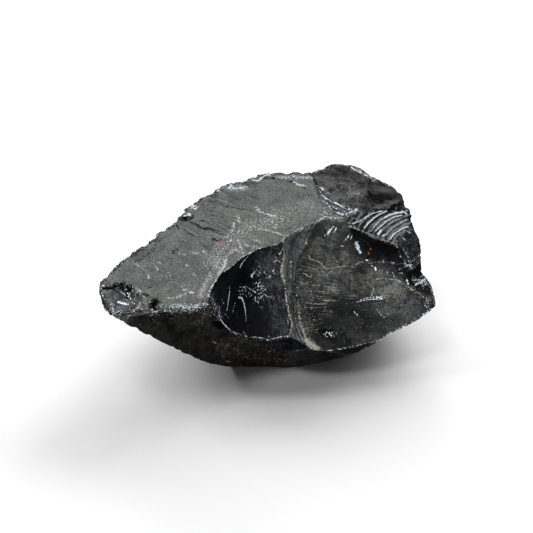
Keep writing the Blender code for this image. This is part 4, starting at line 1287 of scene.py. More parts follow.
        (0.16, 0.6, 0, (1.9, -31.1, 12.9), (4.6, -30.4, 13.2), (7.3, -30.1, 13.4), (8.4, -30, 13.3)),
        (0.2, 0.5, 0, (-15, -27.7, 27.4), (-14.3, -28, 25.9)),
        (0.2, 0.5, 0, (-13.9, -31, 24), (-12.6, -30.9, 22.2)),
    ),
    *drawn(
        Mark.DUST,
        (0.27, 0.75, 0, (0.9, -30.5, 13.7), (1.2, -31.6, 12.9)),
    ),
    # the band's beige streak and fine lines
    *drawn(
        Mark.DUST,
        (0.4, 1, 0, (5.7, -7.2, 33.3), (6.1, -8.2, 31.9), (6.1, -9.1, 30.8)),
        (0.62, 1, 0, (5.9, -9.4, 30.6), (5.7, -10.8, 29.9), (5.4, -12, 28.7), (5, -12.7, 27.6),
         (5.7, -13.9, 26.3)),
        (0.4, 1, 0, (5.7, -14, 25.9), (6, -14.7, 25.1), (6.4, -15.7, 24.2)),
        (0.3, 0.95, 0, (6.4, -16.5, 23.5), (6.7, -18.8, 21.8), (7, -20.6, 20.6), (7.4, -22.3, 19.4),
         (7.7, -23.6, 18.2), (8.1, -24.8, 17.4)),
        (0.24, 0.85, 0, (8.1, -25, 17.1), (8.7, -26.9, 15.6), (8.4, -28.4, 14.2), (7.7, -30.1, 13.4)),
        (0.4, 0.65, 0, (2.6, -10.9, 30.5), (3.6, -10.4, 31), (4.7, -10.7, 30.4)),
        (0.25, 0.6, 0, (2.9, -9.7, 32.2), (3.6, -10.2, 31.3)),
        (0.2, 0.55, 0, (9.9, -14.6, 23.7), (9.5, -19.6, 20.6), (9.8, -24.2, 17.3), (10.8, -27.9, 14.2)),
        (0.2, 0.45, 0, (10.6, -10.5, 26.7), (10.2, -16.2, 22.3), (10.5, -22, 18.2)),
    ),
    # painted glints on the band's ribs and at its brow
    *drawn(
        Mark.PAINTED_GLINT,
        (0.21, 0.85, 0, (8.5, -8.8, 29.1), (8.5, -9.2, 28.7)),
        (0.21, 0.85, 0, (8.5, -9.8, 28.1), (8.5, -10.2, 27.8)),
        (0.2, 0.75, 0, (8.3, -11, 27.2), (8.3, -11.4, 26.9)),
        (0.21, 0.85, 0, (8.5, -12.4, 26), (8.5, -13, 25.5)),
        (0.19, 0.5, 0, (6.7, -20, 21), (7.4, -22.3, 19.4)),
        (0.19, 0.5, 0, (7.4, -25, 17.1), (7.4, -26.7, 15.9)),
        (0.2, 0.8, 0, (11.7, 0.1, 35.6), (13.5, 2.3, 36.2)),
        (0.19, 0.8, 0, (13.1, -4, 31.7), (14.1, -2.3, 32.7)),
    ),
    # the beige band beside the groove
    *drawn(
        Mark.DUST,
        (0.6, 0.55, 0, (10.9, -19.3, 20.4), (11.2, -23.3, 17), (12.2, -27.1, 14.5)),
        (0.6, 0.7, 0, (12.2, -27.1, 14.5), (12.8, -28.8, 13.2), (13.5, -30.6, 12.5)),
        (1.25, 1.1, 0, (14, -31.3, 12), (15.2, -32.1, 11.4), (16.5, -32.7, 10.7)),
        (0.6, 1, 0, (16.5, -32.6, 10.8), (17.9, -33.2, 10.2)),
        (0.35, 0.85, 0, (13.3, -20.5, 18.7), (13.6, -21, 18.2)),
    ),
    # marks on the face
    # painted highlights on the face
    *drawn(
        Mark.PAINTED_GLINT,
        (0.36, 1.35, 0, (22.3, 2.5, 34.3), (21.6, 1.4, 33.4)),
        (0.2, 0.9, 0, (23.7, 3.6, 35.3), (22.3, 2.2, 34.1), (20.5, 0.7, 33.1)),
        (0.16, 0.6, 0, (24.8, 3.5, 35.3), (23.7, 1.7, 33.6)),
        (0.14, 0.85, 0, (27.6, 0, 31.6), (29.2, 1.7, 33.4)),
        (0.14, 0.8, 0, (29.4, 0.3, 31.8), (30.2, 1.2, 32.9)),
        (0.15, 0.7, 0, (28.5, 0.6, 32.1), (28.8, 1.1, 32.7)),
        (0.75, 0.85, 0, (31.5, 0, 30.5), (31.9, -1.1, 29.6)),
        (0.45, 1, 0, (31.8, -1.1, 29.6), (32.1, -2, 29.4), (32.9, -2.5, 28.2)),
        (0.29, 1, 0, (34.8, -4.4, 26.5), (35.4, -4.6, 26.5)),
        (0.25, 0.9, 0, (37, -6.2, 25.1), (37.3, -6.5, 24.9)),
        (0.36, 1.3, 0, (38, -6.7, 24.8), (38.3, -7.6, 24.4)),
        (0.16, 0.9, 0, (32.8, -16.8, 18.6), (34.6, -16.2, 18.7), (37, -15.7, 18.8), (40.5, -15.6, 19.2)),
        (0.3, 0.8, 0, (38.4, -16, 18.8), (40.8, -16, 19)),
        (0.16, 0.85, 0, (31.4, -17.7, 18.2), (33.8, -17.1, 18.4), (36.7, -16.5, 18.5),
         (40.5, -16.5, 18.7)),
        (0.25, 0.55, 0, (30.3, -20.4, 16.4), (31.3, -21.6, 15.6)),
        (0.2, 1, 0, (20.1, -27.6, 12.1), (20.8, -26.9, 12.5)),
        (0.2, 1.1, 0, (21.5, -27.2, 12.3), (22.2, -28.1, 11.7)),
        (0.16, 0.8, 0, (19, -27.8, 12.7), (19.7, -27.9, 12), (21.1, -28.4, 11.4)),
        (0.14, 0.7, 0, (43.9, -8.5, 24.2), (44.9, -10.3, 23)),
        (0.14, 0.6, 0, (42.1, -8.1, 24.4), (42.4, -9.6, 23.3)),
    ),
    *drawn(
        Mark.DUST,
        (0.24, 0.9, 0, (26.1, -1.5, 30.3), (27.2, -1.6, 30.2)),
        (0.18, 1, 0, (14.8, -6.1, 29.4), (15.2, -6.8, 28.6), (17.3, -6.8, 28.2), (18.7, -7.4, 27.3),
         (19.7, -8, 26.5), (20.8, -8.7, 25.7), (21.8, -8.2, 25.8)),
        (0.16, 0.65, 0, (18.7, -7.1, 27.6), (19.4, -7.5, 27), (21.1, -6.8, 27.3), (22.2, -6.4, 27.4)),
        (0.16, 0.75, 0, (20.8, -8.7, 25.7), (20, -9.4, 25.3), (19.3, -9.4, 25.4)),
        (0.16, 0.85, 0, (21.8, -9.7, 24.7), (22.9, -8.9, 25), (23.9, -7.7, 25.8), (24.6, -7.1, 26.2)),
        (0.16, 0.65, 0, (14.4, -9.1, 26.9), (15.8, -9.4, 26.3), (17.9, -9.4, 25.8), (20, -9.7, 25.1)),
        (0.22, 0.75, 0, (12.7, -11.2, 25.9), (13.7, -11.6, 25.3), (14.8, -11.9, 24.7),
         (15.8, -11.5, 24.8)),
        (0.16, 0.6, 0, (13.4, -10.5, 26.2), (13.7, -12.3, 24.6)),
        (0.16, 0.6, 0, (15.1, -11.9, 24.7), (16.5, -11.4, 24.7), (18.6, -10.7, 24.6),
         (21.1, -10.7, 24.2)),
        (0.16, 0.55, 0, (15.4, -13.4, 23.2), (16.1, -12.5, 23.8), (17.2, -12.1, 24)),
        (0.16, 0.65, 0, (15.4, -14.2, 22.5), (17.2, -13.7, 22.5), (20, -13.6, 22.1), (21.7, -13.8, 21.8)),
        (0.16, 0.55, 0, (16.5, -15.7, 21.5), (19.2, -15.5, 20.9), (22, -15.2, 20.7), (23.8, -14.8, 20.8)),
        (0.18, 0.8, 0, (13.6, -19.6, 19.3), (16.4, -19.6, 18.9), (19.2, -19.3, 18.6), (20.9, -18.9, 18.8),
         (21.6, -17.9, 19.3)),
        (0.16, 0.5, 0, (12.2, -18.8, 20.5), (14, -18.3, 20.5)),
        (0.16, 0.65, 0, (24, -14.5, 21), (24, -15.6, 20.1)),
        (0.18, 0.75, 0, (21.4, -13.8, 21.8), (22.1, -13.8, 21.7)),
        (0.16, 0.5, 0, (13, -13.5, 23.7), (15.1, -13.4, 23.2)),
        (0.16, 0.5, 0, (17.1, -17.2, 20.5), (20.6, -17, 19.9)),
        (0.24, 0.6, 0, (22.5, -8.2, 25.7), (25.7, -7.5, 25.7), (29.2, -7, 25.7), (31.3, -6.3, 26),
         (33.1, -5.5, 26.3), (36.3, -5.4, 25.8), (39.9, -4.7, 25.6), (43.8, -4.5, 25.6)),
        (0.16, 0.55, 0, (25.7, -8.9, 24.6), (27.8, -8.7, 24.4), (29.9, -8.3, 24.5)),
        (0.16, 0.5, 0, (22.9, -6.6, 27.1), (25, -6.3, 26.9)),
        (0.24, 0.85, 0, (37.5, -12.8, 20.5), (37.1, -14, 19.7), (36.4, -15.3, 19)),
        (0.18, 0.6, 0, (36.8, -10.7, 22.4), (36.1, -11.9, 21.5), (36.4, -12.9, 20.6)),
        (0.24, 0.65, 0, (36.5, -10.7, 22.4), (38.9, -10.4, 22.6), (41, -10.4, 22.6), (43.1, -10.5, 22.6)),
        (0.26, 0.8, 0, (43.1, -10.5, 22.6), (45.5, -11, 22.7), (48.2, -13, 22), (50.8, -14.8, 21.2),
         (53.3, -15.9, 20.3), (55.6, -17.8, 19.2)),
        (0.28, 0.6, 0, (38.3, -19.6, 16.6), (39.3, -20.5, 16)),
        (0.28, 0.5, 0, (38.9, -20.9, 15.9), (40.6, -22.3, 15.3), (42.7, -21, 16)),
        (0.2, 0.65, 0, (22.3, -21.1, 17), (22.6, -22.4, 15.9)),
        (0.22, 0.55, 0, (18.2, -23.5, 15.9), (18.6, -23.8, 15.7)),
        (0.18, 0.75, 0, (21.6, -33.5, 10.1), (25.1, -33.1, 10.2), (28.6, -32.1, 9.7), (31.3, -31.8, 10.4),
         (33.7, -30.9, 10.9)),
    ),
    *drawn(
        Mark.DARK,
        (0.8, 0.6, 0, (30.5, -13.8, 20.4), (32.5, -16, 19)),
        (0.8, 0.5, 0, (23.4, -16.7, 19.6), (27.2, -17.2, 18.7)),
        (0.8, 0.5, 0, (25.6, -13, 22), (29.1, -11.3, 22.8)),
    ),
    # rust on the wall
    *drawn(
        Mark.RUST,
        (0.32, 1, 0, (36.5, -1.6, 29.5), (36.7, -1.9, 29)),
        (0.32, 1, 0, (35.7, -2.4, 28.3), (35.9, -2.7, 28)),
    ),
    # the right-hand end: painted glints on its crushed facets
    *drawn(
        Mark.PAINTED_GLINT,
        (0.25, 1.1, 0, (48.6, -5.1, 25.5), (49.3, -5.9, 24.8)),
        (0.25, 1.1, 0, (50, -5.5, 24.9), (50.7, -5.9, 24.4)),
        (0.22, 0.9, 0, (49.8, -3.8, 25.9), (51.5, -4.9, 24.9)),
        (0.18, 0.8, 0, (48.1, -0.5, 28.7), (49.2, -1.7, 27.3), (49.9, -2.5, 26.2)),
        (0.18, 0.8, 0, (50.8, -4.6, 25.6), (53.3, 1.5, 22.7), (54.5, 3.1, 22.8)),
        (0.22, 0.9, 0, (48.5, 4.6, 29.2), (49.2, 4.1, 28.7)),
        (0.22, 0.8, 0, (52.2, 3.1, 25.5), (53, 3.5, 25)),
        (0.25, 0.8, 0, (50.5, 10.3, 28.1), (51.9, 9.5, 27.9)),
        (0.18, 0.6, 0, (45.7, -2.2, 30.4), (47.7, -1.1, 28.7)),
        (0.29, 1.1, 0, (48.9, -11.4, 23), (49.3, -12.5, 22)),
        (0.32, 1.1, 0, (52, -12.7, 21.8), (53.7, -10.7, 21.5), (55.6, -8.6, 21.1)),
        (0.25, 0.8, 0, (53.2, -8.7, 21.2), (54.8, -6.5, 20.9)),
        (0.25, 0.8, 0, (54.4, -19.9, 18.7), (55.3, -20.7, 18.5)),
        (0.22, 0.8, 0, (55.7, -19.5, 19.3), (56.9, -18.9, 18.3)),
        (0.22, 0.7, 0, (55.3, -21.7, 17.9)),
        (0.18, 0.6, 0, (52.9, -15.5, 20.5), (54.2, -16.8, 19.7)),
    ),
    # pale specks of the front
    *drawn(
        Mark.DUST,
        (0.32, 1, 0, (-17.9, -35.3, 15.3), (-17.4, -35.2, 14.7)),
        (0.3, 0.7, 0, (-13.9, -33, 4.6), (-12.9, -32.1, 3.2)),
        (0.3, 0.7, 0, (-8.9, -31, 0.4)),
        (0.3, 0.6, 0, (-15.2, -34.6, 8.8), (-14.8, -34.6, 7.8)),
        (0.3, 0.6, 0, (9.5, -31, 1.4), (10.2, -30.9, 0.8)),
    ),
    # the left tip: its breaks and crumbs, a painted shadow line along its top edge and painted glints
    *drawn(
        Mark.DARK,
        (0.9, 2.6, 0, (-50.5, -26.6, 32.3), (-49.3, -26.5, 32.6), (-48, -26.4, 32.8),
         (-46.6, -27.1, 32.8)),
        (1.1, 2.6, 0, (-47.3, -27.2, 32.3), (-46.2, -27.6, 32), (-45.2, -28, 32.5)),
        (0.5, 2, 0, (-46.7, -28.3, 31.5), (-46.5, -29.1, 31.1), (-46, -31.9, 31.7)),
        (0.35, 1.6, 0, (-45.1, -29.7, 31.6), (-43.6, -30.2, 32.7)),
        (0.3, 1.4, 0, (-44.9, -31.4, 31.7), (-43.2, -31.3, 32.4)),
        # a painted shadow line along the tip's top edge
        (0.45, 1.6, 0, (-54.6, -27.2, 32), (-52.9, -27.7, 32.4), (-51.2, -27.7, 31.9)),
        (0.45, 1, 0, (-51.2, -27.7, 31.9), (-49.5, -28.9, 31.6)),
        (0.6, 1.4, 0, (-55.8, -27.4, 31.5), (-55.1, -29.8, 30.8)),
        (0.5, 1.1, 0, (-55.1, -29.8, 30.8), (-54, -32.8, 30.3), (-52.6, -35.6, 30.1)),
        (0.5, 1.1, 0, (-52.6, -35.6, 30.1), (-51.1, -38, 29.9), (-49.1, -41, 30.7)),
        (0.35, 1, 0, (-48.6, -38.7, 30.8), (-47.7, -38.2, 30.9), (-46.7, -37.6, 31.1)),
        (0.35, 0.9, 0, (-42.8, -37.9, 31.1), (-41.4, -39.1, 31.3)),
    ),
    # painted glints and highlights on the tip's breaks
    *drawn(
        Mark.PAINTED_GLINT,
        (0.15, 0.7, 0, (-46.6, -26.2, 33.4), (-44.5, -27.8, 33.1)),
        (0.16, 0.8, 0, (-43.4, -28.8, 33.2), (-42.3, -29.6, 33.2), (-41.6, -30.3, 33.1)),
        (0.15, 0.95, 0, (-48.5, -28.4, 31.4), (-47.2, -29.2, 30.9), (-45.6, -31.5, 31.8),
         (-44.8, -32.8, 32)),
        (0.17, 1, 0, (-46.4, -28.8, 31.2), (-45.8, -29.9, 31.2)),
        (0.16, 0.7, 0, (-45.8, -29.6, 31.2), (-45.1, -29.1, 31.8), (-44.4, -29, 32.1)),
        (0.36, 1.4, 0, (-49.2, -32.9, 30.9), (-48.1, -33.5, 30.9), (-47.1, -33.9, 31)),
        (0.36, 1.4, 0, (-47.1, -33.9, 31), (-46.3, -34.5, 31.1)),
        (0.16, 0.8, 0, (-44.6, -34, 31.7), (-43.6, -34.9, 31.7), (-42.3, -35.5, 31.7)),
        (0.15, 0.65, 0, (-41.9, -33.9, 32), (-41.6, -35.4, 32), (-42.2, -36.7, 31.4)),
        (0.14, 0.55, 0, (-46.6, -31.6, 31.5), (-45.6, -34.1, 31.3), (-45.9, -36.2, 30.9)),
        (0.3, 1, 0, (-54.8, -26.7, 32.8), (-54.2, -26.9, 33)),
        (0.25, 0.7, 0, (-54.6, -29.5, 30.8), (-54.3, -29.6, 30.9)),
        (0.8, 0.45, 0, (-51.3, -33.5, 30), (-50.6, -36, 30.3), (-50, -38.2, 30.5)),
        (0.24, 0.75, 0, (-49, -38, 30.6), (-48.4, -37.6, 30.8)),
        (0.3, 0.65, 0, (-37.5, -37.8, 31.8), (-36, -39.8, 32.2), (-34.8, -38.8, 32.3)),
        (0.2, 0.65, 0, (-35, -36.3, 31.5), (-34, -35.4, 32), (-33.7, -34.8, 32.8)),
        (0.16, 0.9, 0, (-36.7, -35.6, 30.9), (-36.4, -35.6, 30.9)),
    ),
    *drawn(
        Mark.DUST,
        (0.3, 0.9, 0, (-44.8, -32.8, 32), (-43.7, -32.6, 31.7)),
        (0.35, 0.8, 0, (-43.9, -36.5, 31.2), (-43.4, -38.2, 30.9)),
        (0.3, 0.8, 0, (-48.2, -39.3, 30.9), (-47.5, -39.8, 31)),
        (0.35, 0.8, 0, (-45.2, -40.7, 31.3), (-44.5, -40.5, 31.4)),
        (0.5, 0.6, 0, (-39, -35, 32.9), (-38.3, -35.8, 32.3)),
    ),
    # the rim behind, the lobe and the step: painted glints and reflections on their chips and bands, then
    # dark chips and dust
    *drawn(
        Mark.PAINTED_GLINT,
        (0.3, 1.2, 0, (-29.4, 11.6, 35.1)),
        (0.3, 1.2, 0, (-28, 10.9, 35.3), (-27.1, 10.7, 35.4)),
        (0.28, 1, 0, (-30.3, 10.1, 34.9), (-28.7, 10.4, 34.9), (-27.2, 10.4, 35.1)),
        (0.3, 1, 0, (-13.7, 24.6, 37), (-13, 26.8, 37.1)),
        (0.3, 1.1, 0, (-5, 29.4, 37.3), (-3.1, 28.7, 37.4), (-1.7, 30.7, 37.5), (0.2, 32.7, 37.5),
         (1.3, 32.2, 37.7)),
        (0.45, 0.8, 0, (31.4, 37.2, 37.9), (32.5, 36.1, 37.5)),
        (0.35, 0.7, 0, (33.9, 35.5, 37.2), (35.4, 34.6, 36.5)),
        (0.6, 0.7, 0, (36.5, 34.5, 36.1), (38.4, 34.1, 35.5), (39.9, 33.6, 34.4)),
        (0.4, 0.95, 0, (18.7, 27.2, 36.1), (19.6, 26.9, 35.7), (20.7, 26.1, 35.3)),
        (0.25, 0.7, 0, (22.1, 24.4, 34.8), (23.5, 23.9, 35.1)),
        (0.4, 0.9, 0, (19.8, 21.5, 36.1), (20.7, 21.1, 36), (21.9, 19.7, 35.6)),
        (0.35, 0.7, 0, (21.9, 19.7, 35.6), (22.9, 19, 35.4), (24.2, 18.9, 34.8)),
        (0.5, 1.2, 0, (24.8, 18.4, 34.7), (26.1, 17.1, 34.8), (27.5, 16.3, 34.5)),
        (0.35, 0.65, 0, (20, 17.8, 36.4), (21, 17, 36.2), (22.1, 16, 36)),
        (0.28, 0.6, 0, (21.2, 20.2, 35.7), (20.7, 16.9, 36.2)),
        (0.36, 0.95, 0, (22.4, 14.1, 36.5), (23, 12.7, 35.9), (24.4, 11, 36), (25.5, 11, 35.6),
         (27.2, 10.1, 35.6)),
        (0.25, 0.6, 0, (23.5, 15.2, 35.7), (25.3, 13.9, 35.4)),
        (0.5, 0.75, 0, (29.3, 15.4, 34.2), (30.7, 14.4, 34.5), (32.5, 14.8, 34.4)),
        (0.35, 0.7, 0, (31.7, 13.7, 34.6), (33.9, 13.8, 34)),
        (0.4, 0.8, 0, (28.3, 10.8, 35.1), (29.9, 12.5, 34.9), (31.6, 12.4, 35.1)),
        (0.28, 0.6, 0, (27.5, 8.5, 36.1), (29.3, 8.9, 35.6), (31.6, 11.5, 35.2)),
    ),
    *drawn(
        Mark.DARK,
        (0.35, 1.2, 0.1, (-14.1, 26, 37), (-14.8, 24.8, 36.9)),
        (0.5, 1, 0.1, (-11.5, 27.4, 36.9)),
        (0.55, 1.4, 0.2, (-3.1, 32.2, 37.4), (-2, 31.8, 37.4), (-0.9, 32.9, 37.4)),
    ),
    *drawn(
        Mark.DUST,
        (0.35, 0.9, 0, (18.9, 5.8, 36.6), (20.7, 7.4, 36.7), (22.8, 7.2, 36.3), (24.5, 6.7, 36.5),
         (27, 7.1, 36.4)),
        (0.35, 0.8, 0, (20.4, 10.1, 36.6), (21.5, 9.2, 36.6)),
        (0.4, 0.85, 0, (29.3, 3.2, 35.5), (32.8, 1.8, 34.9), (36.4, 1.5, 33.3), (39.8, -0.3, 32.5),
         (43.3, -0.9, 31.6), (45.8, -1.5, 30.7)),
    ),
    # painted glints along the ripples' crests, most of them on a low raised line
    *drawn(
        Mark.PAINTED_GLINT,
        (0.26, 1.05, -0.12, (30.5, 4.7, 35.6), (33.2, 8.1, 34.1), (35.6, 11.6, 33.3), (37.9, 14.3, 33),
         (41, 16.7, 32.3), (43.7, 18.2, 31.3)),
        (0.29, 1.1, -0.16, (34.6, 4.5, 33.8), (36.3, 8.9, 32.7), (38.6, 12.5, 32.3), (41.1, 15.6, 31.9),
         (43.7, 18, 31.4)),
        (0.22, 0.9, -0.12, (36.9, 3.7, 32.8), (38.7, 8.5, 31.7), (41.2, 12.8, 31.2), (43.9, 15.8, 30.8)),
        (0.38, 1.25, -0.18, (42.8, 14.6, 31), (44.7, 16.8, 30.6), (47.1, 18.7, 30.1), (49.4, 20.1, 29.5)),
        (0.24, 1, -0.14, (38.4, 5, 32), (40.5, 8.6, 31.2), (43, 12.7, 30.6), (46.2, 16.3, 29.9),
         (49.4, 18.7, 29.2)),
        (0.36, 1.15, 0, (39.4, 3.3, 31.8), (40.8, 7.2, 30.9)),
        (0.31, 1.05, 0, (40.8, 2.4, 31.6), (41.7, 4.5, 30.9)),
        (0.29, 1.2, -0.18, (43.5, 1.4, 31.2), (45.3, 5.7, 30.2), (47.9, 9.6, 29.3), (49.9, 11.9, 28.7),
         (51, 12.5, 28.4)),
        (0.34, 1.2, 0, (49.5, 20.8, 29.5), (51, 20.1, 28.9)),
        (0.2, 0.6, -0.1, (42.3, 4.1, 30.9), (44.9, 9.5, 29.8), (48.3, 14.4, 29), (50.7, 16.7, 28.6)),
        (0.2, 0.5, 0, (31.7, 6.5, 34.9), (33.7, 10.3, 33.9)),
        (0.17, 0.6, -0.08, (33.1, 6.3, 34.1), (35.5, 10.7, 33.2), (37.9, 13.6, 32.6)),
    ),
)

# wear along the ridges; those with the painted glint mark are painted glints along crushed edges
WEARS: tuple[Wear, ...] = (
    Wear("front_brow", Mark.DUST, 1.6, 0.34),
    Wear("front_brow", Mark.PAINTED_GLINT, 1.1, 0.2),
    Wear("front_brow", Mark.DARK, 1.6, 0.52),
    Wear("tip_brow", Mark.DUST, 0.7, 0.36),
    Wear("scoop_brow", Mark.PAINTED_GLINT, 0.4, 0.5),
    Wear("scoop_brow", Mark.DUST, 0.45, 0.6),
    Wear("band_brow", Mark.DUST, 0.6, 0.6),
    Wear("rim_west", Mark.PAINTED_GLINT, 0.9, 0.4),
    Wear("rim_west", Mark.DARK, 1.3, 0.5),
    Wear("rim_north_west", Mark.PAINTED_GLINT, 1.1, 0.45),
    Wear("rim_north_west", Mark.DARK, 1.5, 0.52),
    Wear("rim_north", Mark.PAINTED_GLINT, 0.8, 0.4),
    Wear("rim_north", Mark.DARK, 1.1, 0.5),
    Wear("scoop_front", Mark.PAINTED_GLINT, 0.25, 0.55),
    Wear("ridge", Mark.DUST, 0.5, 0.5),
    Wear("ripple_top", Mark.DUST, 0.5, 0.3),
    Wear("face_low", Mark.PAINTED_GLINT, 0.5, 0.4),
    Wear("beak_low", Mark.PAINTED_GLINT, 0.7, 0.48),
    Wear("rim_lobe", Mark.PAINTED_GLINT, 0.8, 0.5),
    Wear("rim_east", Mark.PAINTED_GLINT, 0.8, 0.3),
    Wear("beak_side", Mark.PAINTED_GLINT, 0.7, 0.32),
    Wear("tip_edge", Mark.PAINTED_GLINT, 0.8, 0.4),
    Wear("tip_edge", Mark.DARK, 1.0, 0.5),
)

RIMS: tuple[Rim, ...] = (
    Rim("rim_west", 2.2),
    Rim("rim_north_west", 3.2),
    Rim("rim_north", 2.2),
    Rim("front_brow", 3.4),
    Rim("tip_brow", 1.6),
    Rim("scoop_front", 1.2),
    Rim("rim_lobe", 1.2),
    Rim("rim_east", 1.0),
    Rim("face_low", 1.2),
    Rim("beak_low", 1.4),
)


# ---------------------------------------------------------------- the stone


def select_only(piece: bpy.types.Object) -> None:
    """Selects the piece alone and makes it active."""
    bpy.ops.object.select_all(action="DESELECT")
    piece.select_set(True)
    bpy.context.view_layer.objects.active = piece


@dataclass
class Stone:
    """The chunk itself, as one closed piece. Its sizes are in millimetres."""

    name: str = "chunk"
    net: RidgeNet = field(default_factory=RidgeNet)
    # how near points are to be merged, and to be a ridge's own
    weld: float = 0.01
    match: float = 0.05
    # how often faces are divided, how far ridges are smoothed each time, and up to what height they aren't
    steps: int = 2
    ridge_pull: float = 0.4
    rest_height: float = 0.05
    # how narrow strokes are, and how wide triangles, to be divided once more, and how far beside the stroke
    fine_width: float = 0.6
    coarse_pitch: float = 1.3
    fine_margin: float = 0.3
    # how far from the ridges and the floor relief fades in, and how far from the ridges crests get painted
    # glints
    rim_fade: float = 1.2
    floor_fade: float = 1.5
    shine_margin: float = 0.3
    # the chips along the ridges, which are blunt at the floor and sharp from some height up
    chip_size: float = 2.4
    chip_depth: float = 0.8
    chip_reach: float = 1.1
    chip_share: Span = (0.15, 1.1)
    blunt_share: float = 0.3
    sharp_height: float = 35.0
    # how finely the guides and the worn ridges are followed, and how far wear is looked for
    flow_spacing: float = 0.2
    wear_spacing: float = 0.4
    wear_reach: float = 5.0
    # the patches of crushed glass
    patch_size: float = 2.2
    patch_share: Span = (0.5, 0.9)
    smooth_angle: float = 38.0

    def build(self) -> bpy.types.Object:
        """Makes the stone from the block.

        Returns:
            The finished piece.
        """
        self.copy_block()
        self.mark_ridges()
        self.name_facets()
        self.refine()
        self.refine_strokes()
        self.measure_rims()
        self.carve()
        self.lay_flow()
        self.lay_marks()
        self.dress()
        return self.piece

    # the block and its facets

    def copy_block(self) -> None:
        """Copies the block's mesh and merges its loose triangles."""
        self.piece = bpy.data.objects.new(self.name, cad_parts["obsidian_chunk"].data.copy())
        bpy.context.scene.collection.objects.link(self.piece)
        self.mesh = self.piece.data
        self.mesh.materials.clear()
        select_only(self.piece)
        bpy.ops.object.mode_set(mode="EDIT")
        bpy.ops.mesh.select_all(action="SELECT")
        bpy.ops.mesh.remove_doubles(threshold=self.weld * MM)
        bpy.ops.mesh.customdata_custom_splitnormals_clear()
        bpy.ops.object.mode_set(mode="OBJECT")

    def mark_ridges(self) -> None:
        """Marks the edges that lie on the ridges as seams."""
        tree = tree_of(self.points())
        edges = {frozenset(edge.vertices): edge for edge in self.mesh.edges}
        self.ridge_of = {}
        for name in RIDGES:
            found = [tree.find(point) for point in self.net.line(name)]
            chain = [index for _, index, distance in found if distance < self.match]
            for pair in map(frozenset, zip(chain, chain[1:])):
                if pair not in edges:
                    logging.warning("%s: no edge %s", name, sorted(pair))
                    continue
                edges[pair].use_seam = True
                self.ridge_of[pair] = name

    def name_facets(self) -> None:
        """Gives each face the number of its facet, which is the one whose ridges go round it."""
        sides: dict[frozenset, list[int]] = {}
        for polygon in self.mesh.polygons:
            for pair in polygon.edge_keys:
                sides.setdefault(frozenset(pair), []).append(polygon.index)
        numbers = np.full(len(self.mesh.polygons), -1)
        names = list(FACETS)
        for seed in range(len(numbers)):
            if numbers[seed] >= 0:
                continue
            region, border, queue = {seed}, set(), [seed]
            while queue:
                for pair in map(frozenset, self.mesh.polygons[queue.pop()].edge_keys):
                    if pair in self.ridge_of:
                        border.add(self.ridge_of[pair])
                        continue
                    new = set(sides[pair]) - region
                    region |= new
                    queue += new
            fits = [name for name in names if set(FACETS[name].ridges) == border]
            if not fits:
                logging.warning("region of %d faces with %s", len(region), border)
            numbers[list(region)] = names.index(fits[0]) if fits else 0
        facets = self.mesh.attributes.new("facet", "INT", "FACE")
        facets.data.foreach_set("value", numbers.astype(np.int32))

    # what the mesh has

    def vectors(self, items: bpy.types.bpy_prop_collection, name: str) -> np.ndarray:
        """A vector of each of the mesh's items, one a row."""
        flat = np.empty(len(items) * 3)
        items.foreach_get(name, flat)
        return flat.reshape(-1, 3)

    def points(self) -> np.ndarray:
        """The mesh's points in the tables' millimetres, one a row."""
        return self.vectors(self.mesh.vertices, "co") / MM + OUTLINE_MIDDLE

    def middles(self) -> np.ndarray:
        """The middle of each face in the tables' millimetres, one a row."""
        return self.vectors(self.mesh.polygons, "center") / MM + OUTLINE_MIDDLE

    def put_points(self, points: np.ndarray) -> None:
        """Moves the mesh's points to these places."""
        self.mesh.vertices.foreach_set("co", ((points - OUTLINE_MIDDLE) * MM).ravel())
        self.mesh.update()

    def facet_numbers(self) -> np.ndarray:
        """The number of each face's facet."""
        numbers = np.empty(len(self.mesh.polygons), np.int32)
        self.mesh.attributes["facet"].data.foreach_get("value", numbers)
        return numbers

    def facet_points(self) -> list[np.ndarray]:
        """Which points each facet has, those of its ridges too."""
        numbers = self.facet_numbers()
        corners = np.array([polygon.vertices[:] for polygon in self.mesh.polygons])
        held = np.zeros((len(FACETS), len(self.mesh.vertices)), bool)
        for number, here in enumerate(held):
            here[corners[numbers == number].ravel()] = True
        return list(held)

    def on_ridges(self) -> np.ndarray:
        """Which points lie on a ridge."""
        seams = np.array([edge.vertices[:] for edge in self.mesh.edges if edge.use_seam])
        found = np.zeros(len(self.mesh.vertices), bool)
        found[seams.ravel()] = True
        return found

    def measure_rims(self) -> None:
        """Finds how far each point is from the nearest ridge."""
        points = self.points()
        tree = tree_of(points[self.on_ridges()])
        self.rim_distance = np.array([tree.find(point)[2] for point in points])

    def away_from(self, ridge: str, points: np.ndarray, reach: float) -> np.ndarray:
        """How far each point is from a ridge, or infinity beyond the reach."""
        line = through(self.net.points(ridge), self.wear_spacing)
        near = boxed(points, line, reach)
        tree = tree_of(line)
        away = np.full(len(points), np.inf)
        away[near] = [tree.find(point)[2] for point in points[near]]
        return away

    # finer triangles

    def refine(self) -> None:
        """Divides all the faces in four and those that show twice, and rounds off each step."""
        hidden = np.array([facet.hidden for facet in FACETS.values()])
        for step in range(self.steps):
            self.divide(~hidden[self.facet_numbers()] | (step == 0))
            self.smooth_ridges()
            self.smooth_facets()

    def refine_strokes(self) -> None:
        """Divides the faces under the fine strokes once more."""
        middles = self.middles()
        wanted = np.zeros(len(middles), bool)
        for stroke in STROKES:
            if stroke.width <= self.fine_width:
                wanted |= stroke.crosses(middles, self.fine_margin)
        coarse = np.array([facet.pitch > self.coarse_pitch for facet in FACETS.values()])
        self.divide(wanted & coarse[self.facet_numbers()])

